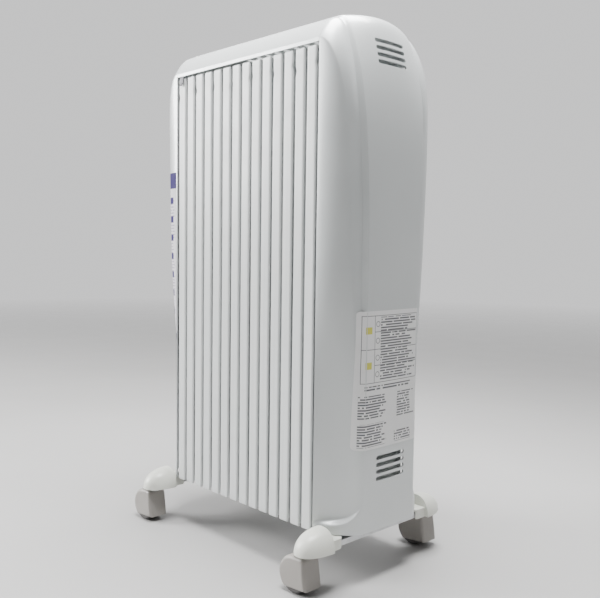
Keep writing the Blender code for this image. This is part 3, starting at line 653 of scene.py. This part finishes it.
def curve_point(path, u):
    """Place on a Bezier curve of any degree."""
    path = [Vector(p) for p in path]
    while len(path) > 1:
        path = [a.lerp(b, u) for a, b in zip(path, path[1:])]
    return path[0]


SKIRT = ((SEAM_X, SLAT_FACE), (0.158, 0.0715), (0.1785, 0.06), (0.1805, BAND_HALF))
SCOOP = (
    (SEAM_X, SLAT_FACE), (0.1455, 0.0715), (0.162, 0.0545), (0.1793, 0.054), (0.1805, BAND_HALF)
)


def share(index):
    """Place of a section's point between the slats' corner (0) and the band's edge (1)."""
    if index < len(CRESCENT):
        return CREASE_SHARE * CRESCENT[index]
    place = index - len(CRESCENT) + 1
    return min(CREASE_SHARE + (1 - CREASE_SHARE) * place / (len(STRIP) + len(STEP) + 1), 1.0)


def draw_to(point, path, index, amount):
    """Move a section's point some of the way to its place on a curve."""
    place = curve_point(path, share(index))
    point.x = lerp(point.x, place.x, amount)
    point.y = lerp(point.y, place.y, amount)


def level_section(z):
    """Section at a height, whose crease and groove melt into a plain scoop low down."""
    x, y = crease_at(z)
    band = [Vector((rail_x(band_rail(side), z), side * band_half(z), z)) for side in BAND]
    foot = Vector((rail_x(FOOT_RAIL, z), band_half(z) + GROOVE_WIDTH, z))
    corner = Vector((SEAM_X, SLAT_FACE, z))
    points = half_section(corner, Vector((x, y, z)), foot, band[0], band, Vector((STRIP_BULGE, 0, 0)))
    plain = 1 - smoothstep((z - SCOOP_FULL) / SCOOP_FADE)
    for index, point in enumerate(points[:-len(BAND)]):
        draw_to(point, SCOOP, index, plain)
    return points


def fan_section(angle):
    crease = crease_point(angle)
    portion = (crease.z - FAN_HEIGHT) / (RIM_TOP - FAN_HEIGHT)
    corner = Vector((SEAM_X, SLAT_FACE, lerp(FAN_HEIGHT, RIM_BOTTOM, portion)))
    band = []
    for side in BAND:
        x, z = rail_point(band_rail(side), angle)
        band.append(Vector((x, side * band_half(z), z)))
    x, z = rail_point(FOOT_RAIL, angle)
    foot = Vector((x, band_half(z) + GROOVE_WIDTH, z))
    bulge = lerp(STRIP_BULGE, STRIP_BULGE_TOP, portion)
    outward = Vector((math.cos(angle), 0, math.sin(angle)))
    return half_section(corner, crease, foot, band[0], band, outward * bulge)


def ledge_height(index):
    return LEDGE_HEIGHT + LEDGE_RISE * share(index) ** 3


def low_row(height_of, spread):
    """A row of the cover below the even levels, blended with the skirt by spread."""
    row = []
    for index in range(SECTION_POINTS):
        point = level_section(height_of(index))[index]
        if share(index) < 1:
            draw_to(point, SKIRT, index, spread)
        row.append(point)
    return row


def cover_rows():
    """Half sections from the bottom edge over the ledge, up the end face and round to the top."""
    rises = [-0.005, -0.003, -0.0018, -0.0009, 0.0, 0.0009, 0.0018, 0.0028, 0.0039, 0.0051, 0.0066]
    rises += [0.009, 0.013]
    rows = [low_row(lambda index: COVER_BOTTOM, 1.0)]
    rows.append(low_row(lambda index: lerp(COVER_BOTTOM, ledge_height(index) + rises[0], 0.5), 1.0))
    for rise in rises:
        spread = 1 - smoothstep((rise + 0.0018) / 0.006)
        rows.append(low_row(lambda index: ledge_height(index) + rise, spread))
    even = 0.36
    for t in steps(16)[1:]:
        rows.append(low_row(lambda index: lerp(ledge_height(index) + rises[-1], even, t), 0.0))
    for t in steps(12)[1:]:
        rows.append(level_section(lerp(even, FAN_HEIGHT, t)))
    fan = [*range(5, 60, 5), *range(60, 74, 3), *(74.5 + 1.5 * i for i in range(9)), 88.2, 90]
    rows += [fan_section(math.radians(degrees)) for degrees in fan]
    return rows


def shell_mesh(name, rows, side=1):
    """Skin half sections and their mirror images, with an inner skin a wall's thickness behind."""
    bm = bmesh.new()
    outer = []
    for row in rows:
        full = [(p.x, -p.y, p.z) for p in row] + [(p.x, p.y, p.z) for p in reversed(row[:-1])]
        outer.append([bm.verts.new((side * x, y, z)) for x, y, z in full])
    skin(bm, outer, turned_over=side < 0)
    bm.normal_update()
    places = []
    for row in outer:
        line = []
        for vertex in row:
            normal = vertex.normal.copy()
            if abs(abs(vertex.co.x) - SEAM_X) < 0.0004:
                normal.x = 0
            if vertex.co.z < COVER_BOTTOM + 0.00001:
                normal.z = 0
            line.append(vertex.co - normal.normalized() * WALL)
        places.append(line)
    for _ in range(4):
        eased = [list(line) for line in places]
        for r in range(1, len(places) - 1):
            for c in range(1, len(places[0]) - 1):
                around = places[r - 1][c] + places[r + 1][c] + places[r][c - 1] + places[r][c + 1]
                eased[r][c] = places[r][c] * 0.5 + around * 0.125
        places = eased
    inner = [[bm.verts.new(p) for p in line] for line in places]
    skin(bm, inner)
    for end in (0, -1):
        skin(bm, (outer[end], inner[end]))
    for end in (0, -1):
        skin(bm, ([row[end] for row in outer], [row[end] for row in inner]))
    return finished(name, bm)


def surface_x(y, z):
    """Distance out of the cover's surface at a place on its end face."""
    points = level_section(z)
    for a, b in zip(points, points[1:]):
        if a.y >= abs(y) >= b.y:
            return lerp(a.x, b.x, (a.y - abs(y)) / max(a.y - b.y, 1e-9))
    return points[-1].x


def vent_tools(side, highest):
    """Four slots through an end face, one below the other."""
    outline = capsule(VENT_LENGTH, VENT_HEIGHT)
    tools = []
    for index in range(4):
        place = moved(side * 0.165, 0, highest - VENT_PITCH * index) @ ON_WALL
        tools.append(prism("vent", outline, -0.025, 0.025, place))
    return tools


LOWER_VENT = 0.145
UPPER_VENT = 0.62
ON_PANEL = moved(PANEL_X, 0, 0) @ ON_WALL


def make_end_cover(name, side, tools):
    cover = linked(name, shell_mesh(name, cover_rows(), side))
    combine(cover, tools, "DIFFERENCE")
    cover.data.transform(SHIFTED)
    return show(cover, COVER, nodes=[name.replace("_shell", "")], sharp=50)


def make_end_covers():
    vents = [*vent_tools(1, LOWER_VENT), *vent_tools(1, UPPER_VENT)]
    make_end_cover("rear_cover_shell", 1, vents)
    outline = rounded_box((-0.0344, 0.3746), (0.0344, 0.4924), 0.004)
    window = prism("window", outline, -0.02, 0.02, ON_PANEL)
    gland_hole = drum("gland", 0.0087, -0.02, 0.02, 40, moved(PANEL_X, 0, GLAND_Z) @ TO_X)
    make_end_cover("front_cover_shell", -1, [*vent_tools(-1, UPPER_VENT), window, gland_hole])


make_end_covers()


def make_top():
    """Top cover between the two end covers, with a grille of slots across it."""
    seam = fan_section(math.pi / 2)
    end = SEAM_X - 0.0003
    levels = (end, end - 0.0004, 0.0, -end + 0.0004, -end)
    rows = [[Vector((x, p.y, p.z)) for p in seam] for x in levels]
    top = linked("top_shell", shell_mesh("top_shell", rows))
    outline = [(y, x) for x, y in capsule(0.06, 0.007)]
    slots = []
    for index in range(12):
        x = (index - 5.5) * PITCH / 2
        slots.append(prism("slot", outline, 0.6, 0.7, moved(x, 0, 0)))
    combine(top, slots, "DIFFERENCE")
    top.data.transform(SHIFTED)
    show(top, COVER, nodes=["top_cover"], sharp=50)


make_top()


# Slat panels
def fin_outline():
    """Plan of one element: embossed web, four arms, and four slats with turned-in edges."""
    sheet = 0.0011
    half = 0.0072
    lip = 0.0026
    bend = 0.0013
    inner = SLAT_FACE - sheet
    centre = PITCH / 4

    def slat(sign):
        middle = sign * centre
        points = [(middle + sheet / 2, inner), (middle + half - sheet, inner)]
        points += [(middle + half - sheet, SLAT_FACE - lip), (middle + half, SLAT_FACE - lip)]
        points += arc((middle + half - bend, SLAT_FACE - bend), bend, 0, 90, 4)
        points += [(middle + half * t, SLAT_FACE) for t in (0.5, 0.0, -0.5)]
        points += arc((middle - half + bend, SLAT_FACE - bend), bend, 90, 180, 4)
        points += [(middle - half, SLAT_FACE - lip), (middle - half + sheet, SLAT_FACE - lip)]
        points += [(middle - half + sheet, inner), (middle - sheet / 2, inner)]
        return points

    web = []
    for t in steps(24):
        y = lerp(-0.046, 0.046, t)
        web.append((0.0028 + 0.0012 * math.cos(3 * math.pi * y / 0.046) ** 2, y))
    upper = slat(1) + [(0.0, 0.0515)] + slat(-1)
    left = [(-x, y) for x, y in reversed(web)]
    lower = [(-x, -y) for x, y in upper]
    return web + upper + left + lower


def fin_mesh(seed):
    """One element, drawn up in thin levels so that its faces can be a little uneven."""
    outline = fin_outline()
    chance = random.Random(seed)
    heights = [SLAT_BOTTOM, SLAT_BOTTOM + 0.0004, SLAT_BOTTOM + 0.0012]
    heights += [lerp(SLAT_BOTTOM + 0.006, SLAT_TOP - 0.036, t) for t in steps(26)]
    drops = (0.031, 0.028, 0.025, 0.022, 0.019, 0.016, 0.012, 0.007, 0.0012, 0.0004, 0.0)
    heights += [SLAT_TOP - drop for drop in drops]
    dents = []
    for sign_x in (-1, 1):
        for sign_y in (-1, 1):
            depth = chance.choice((0.0004, 0.0008, 0.0013, 0.0015))
            dents.append((sign_x, sign_y, depth, SLAT_TOP - chance.uniform(0.018, 0.026)))
    bm = bmesh.new()
    levels = []
    for z in heights:
        end = max(0.0, 1 - min(z - SLAT_BOTTOM, SLAT_TOP - z) / 0.0012)
        ring = []
        for x, y in outline:
            px, py = x, y
            if abs(y) > 0.07:
                wave = noise.noise(Vector((x * 25 + seed * 3.1, y * 20, z * 7)))
                inset = 0.0002 + 0.00025 * wave + 0.0006 * end * end
                py -= math.copysign(inset, y)
                for sign_x, sign_y, depth, level in dents:
                    if x * sign_x > 0.0135 and y * sign_y > 0:
                        px -= sign_x * depth * math.exp(-(((z - level) / 0.0035) ** 2))
            ring.append(bm.verts.new((px, py, z)))
        levels.append(ring)
    wrap(bm, levels)
    return finished("element", bm)


def make_fins():
    half = PITCH / 2 - 0.00015
    hub = [(0, -half), (0.0162, -half), (0.017, -half + 0.0008)]
    hub += [(radius, -height) for radius, height in reversed(hub)]
    for index in range(ELEMENTS):
        name = f"fin_panel_{index + 1}"
        fin = linked(name, fin_mesh(index + 11))
        centres = [moved(0, 0, level) @ TO_X for level in HEADERS]
        combine(fin, [turned("hub", hub, 48, centre) for centre in centres], "UNION")
        bores = [drum("bore", 0.0125, -0.03, 0.03, 40, centre) for centre in centres]
        combine(fin, bores, "DIFFERENCE")
        x = (index - (ELEMENTS - 1) / 2) * PITCH
        fin.data.transform(moved(x + SHIFT, 0, 0))
        show(fin, SLAT, nodes=[f"fin_element_{index + 1}"], sharp=38, weighted=False)


make_fins()


# Film and clip
def thickened(thing, amount, offset):
    solid = thing.modifiers.new("Solidify", "SOLIDIFY")
    solid.thickness = amount
    solid.offset = offset
    settle(thing)


def film(name, rows, material):
    """A thin sheet of film that follows a grid of points and their outward side."""
    bm = bmesh.new()
    skin(bm, [[bm.verts.new(p) for p in row] for row in rows])
    thing = linked(name, finished(name, bm, facing=False))
    thickened(thing, FILM, 1)
    thing.data.transform(SHIFTED)
    return show(thing, material, sharp=50, weighted=False)


def corner_inset(distance, radius):
    """How far a rounded corner draws an edge in at a distance from the corner."""
    if distance >= radius:
        return 0.0
    return radius - math.sqrt(max(radius ** 2 - (radius - distance) ** 2, 0.0))


LABEL_REACH = 0.056


def film_x(y, z):
    """Distance out of a film over the band, which spans the groove beside it without dipping in."""
    x = surface_x(y, z)
    if abs(y) >= BAND_HALF:
        past = (abs(y) - BAND_HALF) / (LABEL_REACH - BAND_HALF)
        x = max(lerp(surface_x(BAND_HALF, z), surface_x(LABEL_REACH, z), past), x)
    return x + FILM


def make_label():
    low, high, left, right, radius = 0.157, 0.3155, -LABEL_REACH, 0.0478, 0.004
    ends = [0, 0.0003, 0.0008, 0.0015, 0.0025, radius]
    middle = [lerp(low + radius, high - radius, t) for t in steps(26)[1:-1]]
    rows = []
    for z in [low + d for d in ends] + middle + [high - d for d in reversed(ends)]:
        inset = corner_inset(min(z - low, high - z), radius)
        across = [lerp(left + inset, right - inset, t) for t in steps(40)]
        rows.append([(film_x(y, z), y, z) for y in across])
    film("rear_label", rows, LABEL)


def make_sticker():
    """The film lies on the near crescent of the control end, so its places are turned about."""
    rows = []
    for t in steps(40):
        z = lerp(0.254, 0.4855, t)
        points = level_section(z)[:len(CRESCENT)]
        row = []
        for index in range(1, len(points) - 4):
            before, here, after = points[index - 1], points[index], points[index + 1]
            across = after - before
            out = Vector((-across.y, across.x, 0)).normalized()
            place = here + (out if out.y > 0 else -out) * FILM
            row.append((-place.x, -place.y, z))
        rows.append(row[::-1])
    film("side_sticker", rows, STICKER)


make_label()
make_sticker()


def make_clip():
    """Small spring clip hooked over the head of the first slat."""
    x = -3 * PITCH - PITCH / 4 + 0.0005
    path = (
        (-0.0812, 0.6125, 0.0036), (-0.0828, 0.6128, 0.0038), (-0.0838, 0.612, 0.0039),
        (-0.0842, 0.6095, 0.0039), (-0.0845, 0.606, 0.0037), (-0.085, 0.603, 0.0033),
        (-0.0856, 0.601, 0.0026), (-0.086, 0.5998, 0.0016),
    )
    bm = bmesh.new()
    rows = []
    for y, z, half in path:
        rows.append([bm.verts.new((x + half * t, y, z)) for t in (-1, -0.5, 0, 0.5, 1)])
    skin(bm, rows)
    thing = linked("slat_clip", finished("slat_clip", bm))
    thickened(thing, 0.0005, -1)
    rounded(thing, 0.00015, 2)
    thing.data.transform(SHIFTED)
    show(thing, SPRING, sharp=50)


make_clip()


# Casters
def dome_mesh(semi, power, count_around, count_up):
    """Superellipsoid about the origin."""
    bm = bmesh.new()
    rings = []

    def powered(value):
        return math.copysign(abs(value) ** (2 / power), value)

    for v in range(count_up + 1):
        b = math.pi * (v / count_up - 0.5)
        if v in (0, count_up):
            rings.append([bm.verts.new((0, 0, math.copysign(semi[2], b)))])
            continue
        ring = []
        for u in range(count_around):
            a = 2 * math.pi * u / count_around
            x = semi[0] * powered(math.cos(b)) * powered(math.cos(a))
            y = semi[1] * powered(math.cos(b)) * powered(math.sin(a))
            ring.append(bm.verts.new((x, y, semi[2] * powered(math.sin(b)))))
        rings.append(ring)
    for low, high in zip(rings, rings[1:]):
        join_rings(bm, low, high, count_around)
    return finished("dome", bm)


def make_foot(name, side_x, side_y):
    """Ivory foot: a dome outside the body and a tongue that runs in under it."""
    semi = (0.0205, 0.0385, 0.0255)
    power = 2.25
    wall = 0.0019
    base = 0.047
    start = 0.0845
    tongue = start - 0.064
    tongue_half = 0.0155
    tongue_top = 0.059 - base

    def tool(half_x, y_range, z_range):
        low_y, high_y = sorted(side_y * y for y in y_range)
        return block("tool", (-half_x, low_y, z_range[0]), (half_x, high_y, z_range[1]))

    foot = linked(f"{name}_shell", dome_mesh(semi, power, 72, 40))
    combine(foot, [tool(0.05, (0, 0.05), (0, 0.05))], "INTERSECT")
    outline = rounded_box((-tongue_half, -tongue), (tongue_half, 0.016), 0.0085, 8)
    outline = [(x, side_y * y) for x, y in outline]
    combine(foot, [prism("tongue", outline, 0, tongue_top)], "UNION")
    hollow = linked("hollow", dome_mesh([value - wall for value in semi], power, 48, 28))
    combine(hollow, [tool(0.05, (wall, 0.05), (-0.05, 0.05))], "INTERSECT")
    channel = tool(tongue_half - wall, (-tongue - 0.01, 0.006), (-0.01, 0.0565 - base))
    combine(foot, [hollow.data, channel], "DIFFERENCE")
    bpy.data.objects.remove(hollow, do_unlink=True)
    rounded(foot, 0.0007, 3, 45)
    foot.data.transform(moved(side_x * SWIVEL_X + SHIFT, side_y * start, base))
    show(foot, IVORY, nodes=[name], sharp=40)


def hood_outline():
    """Side view of a hood: round behind, rounded over the top, with a leaning flat front."""
    radius = 0.0215
    bottom = 0.0045
    low_angle = 180 + math.degrees(math.asin((radius - bottom) / radius))
    front = [(0.0085, bottom + 0.003), (0.0072, 0.02), (0.0058, 0.03), (0.0044, 0.0392)]
    shoulder = list(arc((0.0002, 0.0392), 0.004, 8, 88, 7))
    return front + shoulder + list(arc((-TRAIL, radius), radius, 90, low_angle, 34))


def pillow(name, outline, half, edge, middle, matrix):
    """An outline raised to both sides of its own plane, with the rims rolled over by a radius."""
    layers = []
    for t in steps(7):
        a = math.pi / 2 * t
        layers.append((half - edge + edge * math.sin(a), edge * (1 - math.cos(a))))
    layers = [(-up, inset) for up, inset in reversed(layers)] + layers
    centre = Vector(middle)
    bm = bmesh.new()
    rings = []
    for up, inset in layers:
        ring = []
        for point in outline:
            arm = Vector(point) - centre
            place = centre + arm * (1 - inset / arm.length)
            ring.append(bm.verts.new((place.x, place.y, up)))
        rings.append(ring)
    wrap(bm, rings)
    return finished(name, bm, matrix)


def make_caster(name, side_x, side_y):
    x, y = side_x * SWIVEL_X + SHIFT, side_y * SWIVEL_Y
    body = pillow("hood", hood_outline(), 0.014, 0.0045, (-0.0125, 0.0205), UPRIGHT)
    hood = linked(f"{name}_hood_shell", body)
    for vertex in hood.data.vertices:
        taper = smoothstep((vertex.co.z - 0.02) / 0.03)
        vertex.co.y *= 1 - 0.07 * taper
    tools = []
    for side in (-1, 1):
        centre = moved(-TRAIL, side * WHEEL_OFFSET, WHEEL_RADIUS) @ TO_Y
        tools.append(drum("bay", 0.0197, -0.00525, 0.00525, 64, centre))
    axle = moved(-TRAIL, 0, WHEEL_RADIUS) @ TO_Y
    tools.append(drum("bore", 0.0023, -0.0133, 0.0133, 24, axle))
    tools.append(drum("socket", 0.003, 0.0385, 0.05, 24))
    combine(hood, tools, "DIFFERENCE")
    hood.data.transform(moved(x, y, 0))
    show(hood, CASTER, name, [f"{name}_hood"], sharp=40)

    half, rim = WHEEL_HALF, WHEEL_RADIUS
    profile = [(0.0026, half - 0.0004), (0.006, half - 0.0004), (0.0064, half - 0.0012)]
    profile += [(0.013, half - 0.0012), (0.0134, half - 0.0002), (0.015, half)]
    profile += [(rim - 0.0018, half), (rim - 0.0009, half - 0.0003)]
    profile += [(rim - 0.0003, half - 0.001), (rim, half - 0.002)]
    profile += [(radius, -height) for radius, height in reversed(profile)]
    for word, side in (("left", -1), ("right", 1)):
        centre = moved(x - TRAIL, y + side * WHEEL_OFFSET, WHEEL_RADIUS) @ TO_Y
        mesh = turned("wheel", profile, 96, centre, closed=True)
        wheel = linked(f"{name}_tyre_{word}", mesh)
        show(wheel, TYRE, f"{name}_{word}_wheel", [f"{name}_wheel_{word}"], sharp=40)


for end, side_x in (("front", -1), ("rear", 1)):
    for word, side_y in (("left", -1), ("right", 1)):
        make_foot(f"caster_foot_{end}_{word}", side_x, side_y)
        make_caster(f"caster_{end}_{word}", side_x, side_y)


# Controls
def make_panel():
    face = rounded_box((-0.034, 0.375), (0.034, 0.492), 0.0038)
    panel = linked("panel_face", prism("face", face, 0.0, 0.0078, ON_PANEL))
    rim = rounded_box((-0.038, 0.371), (0.038, 0.496), 0.005)
    combine(panel, [prism("flange", rim, 0.0068, 0.0088, ON_PANEL)], "UNION")
    holes = []
    for radius, height in ((0.0036, DIAL_Z), (0.0033, LAMP_Z)):
        holes.append(drum("hole", radius, -0.02, 0.02, 32, moved(PANEL_X, 0, height) @ TO_X))
    for y in (-ROCKER_Y, ROCKER_Y):
        outline = rounded_box((y - 0.0075, 0.3905), (y + 0.0075, 0.4135), 0.0012)
        holes.append(prism("rocker_hole", outline, -0.02, 0.02, ON_PANEL))
    dish = [(0, -0.01), (0.0228, -0.01), (0.0228, 0.0), (0.0222, 0.0006), (0, 0.0006)]
    holes.append(turned("dish", dish, 72, moved(PANEL_X, 0, DIAL_Z) @ TO_X))
    combine(panel, holes, "DIFFERENCE")
    rounded(panel, 0.0005, 3, 50)
    panel.data.transform(SHIFTED)
    show(panel, PANEL, nodes=["control_panel"], sharp=40)


def make_dial_marks():
    """Plain strokes around the knob, the long ones at its ends and in the middle."""
    marks = bmesh.new()
    for index in range(11):
        turn = Matrix.Rotation(math.radians(225 - 27 * index), 4, "Z")
        length = 0.003 if index % 5 == 0 else 0.0019
        outline = rounded_box((0.0242, -0.0004), (0.0242 + length, 0.0004), 0.00035, 3)
        place = ON_PANEL @ moved(0, DIAL_Z, 0) @ turn
        mesh = prism("mark", outline, -0.00016, -0.00003, place)
        marks.from_mesh(mesh)
        bpy.data.meshes.remove(mesh)
    dial = linked("dial_marks", finished("dial_marks", marks, SHIFTED))
    show(dial, PRINT, sharp=40)


def make_knob():
    """Thermostat knob with a fluted side, on its shaft, and a dark pointer let into its face."""
    profile = [(0, 0.0117), (0.0148, 0.0117), (0.0156, 0.0119), (0.0164, 0.0118), (0.0171, 0.0113)]
    profile += [(0.0176, 0.0104), (0.0182, 0.006), (0.0185, 0.0042), (0.019, 0.0032)]
    profile += [(0.0199, 0.0026), (0.02, 0.002), (0.02, 0.0007), (0.003, 0.0007)]
    profile += [(0.003, -0.0105), (0, -0.0105)]
    mesh = turned("knob", profile, 144)
    flutes, flute_depth = 24, 0.022
    for vertex in mesh.vertices:
        reach = math.hypot(vertex.co.x, vertex.co.y)
        if reach > 0.0174 and 0.0035 < vertex.co.z < 0.0112:
            around = math.atan2(vertex.co.y, vertex.co.x)
            squeeze = 1 - flute_depth * max(0.0, math.cos(around * flutes))
            vertex.co.x *= squeeze
            vertex.co.y *= squeeze
    knob = linked("knob_shell", mesh)
    outline = rounded_box((-0.0007, 0.0085), (0.0007, 0.015), 0.0006, 4)
    combine(knob, [prism("pointer", outline, 0.0108, 0.02)], "DIFFERENCE")
    place = moved(PANEL_X + SHIFT, 0, DIAL_Z) @ FACING_OUT
    knob.data.transform(place)
    show(knob, KNOB, "knob", ["thermostat_knob"], sharp=30)
    outline = rounded_box((-0.0006, 0.0086), (0.0006, 0.0149), 0.0005, 4)
    inlay = linked("knob_inlay", prism("inlay", outline, 0.0108, 0.01145))
    inlay.data.transform(place)
    show(inlay, BLACK, "knob", sharp=40)


def make_rockers():
    outline = [(0.0045, -0.01), (0.0045, 0.01), (-0.0042, 0.01), (-0.0045, 0.0097)]
    outline += [(-0.0038, 0.0045), (-0.0035, 0.0), (-0.0038, -0.0045), (-0.0045, -0.0097)]
    outline += [(-0.0042, -0.01)]
    tilt = Matrix.Rotation(math.radians(8), 4, "Y")
    for index, y in ((1, -ROCKER_Y), (2, ROCKER_Y)):
        mesh = prism("rocker", outline, -0.0068, 0.0068, UPRIGHT)
        rocker = linked(f"rocker_{index}_key", mesh)
        rounded(rocker, 0.0006, 3, 40)
        rocker.data.transform(moved(-0.1775 + SHIFT, y, ROCKER_Z) @ tilt)
        show(rocker, BLACK, f"rocker_{index}", [f"rocker_switch_{index}"], sharp=40)


def make_lens():
    profile = [(0, 0.0109), (0.001, 0.0108), (0.0019, 0.0104), (0.0026, 0.0098)]
    profile += [(0.0029, 0.009), (0.0029, 0), (0, 0)]
    place = moved(-0.1707 + SHIFT, 0, LAMP_Z) @ TO_MINUS_X
    lens = linked("lens_shell", turned("lens", profile, 40, place))
    show(lens, LENS, nodes=["pilot_lens"], sharp=40)


def make_gland():
    """Collar that holds the cover's wall in a groove, with an open bore for a cord."""
    outer = 0.1849
    collar = 0.0112
    profile = [(0.0092, outer), (0.01, outer - 0.0002), (0.0108, outer - 0.0008)]
    profile += [(collar, outer - 0.0016), (collar, 0.1818), (0.0083, 0.1818), (0.0083, 0.1785)]
    profile += [(collar, 0.1785), (collar, 0.1745), (0.004, 0.1745), (0.004, outer - 0.001)]
    profile += [(0.0046, outer - 0.0002), (0.0056, outer)]
    gland = turned("gland", profile, 56, moved(SHIFT, 0, GLAND_Z) @ TO_MINUS_X, closed=True)
    show(linked("gland_shell", gland), BLACK, nodes=["cord_gland"], sharp=40)


make_panel()
make_dial_marks()
make_knob()
make_rockers()
make_lens()
make_gland()


# Carried-over CAD nodes
BY_SLOT = {
    "fin_paint": SLAT, "cover_gloss": COVER, "ivory_plastic": IVORY, "caster_grey": CASTER,
    "panel_grey": PANEL, "knob_white": KNOB, "pilot_lens": LENS, "zinc_steel": ZINC,
    "brass": BRASS, "switch_black": BLACK,
}
for part in frame["record"]["subparts"]:
    node = frame["nodes"][part["node"]]
    node.data.materials.clear()
    node.data.materials.append(BY_SLOT[part["material_slot"]])


# Floor, light, view
def make_floor():
    """Plain floor that fades out far from the heater, so that its edge can't be seen."""
    n = Nodes("studio_floor")
    base = n.mixed(n.noise(3.0, 3.0), (0.46, 0.455, 0.45), (0.5, 0.495, 0.49))
    n.set(Base_Color=base, Roughness=n.swing(n.noise(9.0), 0.48, 0.6))
    n.set(Normal=n.bump(n.noise(400.0), 0.0001, 0.2))
    length = n.feed(n.add("ShaderNodeVectorMath", operation="LENGTH"), Vector=n.place)["Value"]
    clear = n.add("ShaderNodeBsdfTransparent")
    mix = n.add("ShaderNodeMixShader")
    n.link(n.ranged(length, 1.2, 4.5, 0, 1), mix.inputs[0])
    n.link(n.shader.outputs[0], mix.inputs[1])
    n.link(clear.outputs[0], mix.inputs[2])
    n.link(mix.outputs[0], n.tree.nodes["Material Output"].inputs["Surface"])
    floor = linked("floor", turned("floor", [(0, 0), (0.6, 0), (1.5, 0), (5.0, 0)], 64))
    floor.data.materials.append(n.material)


def make_light(name, place, target, size, power):
    data = bpy.data.lights.new(name, "AREA")
    data.shape = "RECTANGLE"
    data.size, data.size_y = size
    data.energy = power
    lamp = bpy.data.objects.new(name, data)
    lamp.location = place
    lamp.rotation_euler = (Vector(target) - Vector(place)).to_track_quat("-Z", "Y").to_euler()
    bpy.context.scene.collection.objects.link(lamp)


def make_world():
    """A soft studio surround, pale behind the heater and dimmer on the open side."""
    world = bpy.data.worlds.new("studio")
    world.use_nodes = True
    tree = world.node_tree
    place = tree.nodes.new("ShaderNodeTexCoord")
    facing = tree.nodes.new("ShaderNodeVectorMath")
    facing.operation = "DOT_PRODUCT"
    facing.inputs[1].default_value = (-0.72, 0.69, 0.0)
    strength = tree.nodes.new("ShaderNodeMapRange")
    strength.interpolation_type = "SMOOTHSTEP"
    for socket, number in (("From Min", -0.5), ("From Max", 0.8), ("To Min", 0.13), ("To Max", 1.05)):
        strength.inputs[socket].default_value = number
    tree.links.new(place.outputs["Generated"], facing.inputs[0])
    tree.links.new(facing.outputs["Value"], strength.inputs["Value"])
    tree.links.new(strength.outputs["Result"], tree.nodes["Background"].inputs["Strength"])
    tree.nodes["Background"].inputs["Color"].default_value = (0.9, 0.9, 0.905, 1)
    bpy.context.scene.world = world


def make_camera():
    """The photo's view: turned about the heater, looking down a little and rolled a little."""
    azimuth, pitch, roll = (math.radians(v) for v in (46.4609, 4.0786, 0.7619))
    level = Vector((math.cos(azimuth), math.sin(azimuth), 0))
    flat = math.cos(pitch)
    forward = Vector((-math.sin(azimuth) * flat, math.cos(azimuth) * flat, -math.sin(pitch)))
    up = level.cross(forward)
    right = level * math.cos(roll) + up * math.sin(roll)
    up = up * math.cos(roll) - level * math.sin(roll)
    data = bpy.data.cameras.new("camera")
    data.sensor_width = 36
    data.lens = 45.57
    data.clip_start = 0.01
    camera = bpy.data.objects.new("camera", data)
    matrix = Matrix((right, up, -forward)).transposed().to_4x4()
    matrix.translation = (0.747, -0.6822, 0.389)
    camera.matrix_world = matrix
    bpy.context.scene.collection.objects.link(camera)
    bpy.context.scene.camera = camera


make_floor()
make_light("top_box", (0.1, 0.0, 1.3), (0, 0, 0.3), (0.75, 0.6), 52)
make_light("left_box", (-2.1, -1.5, 1.25), (0, 0, 0.35), (1.0, 1.3), 128)
make_world()
make_camera()
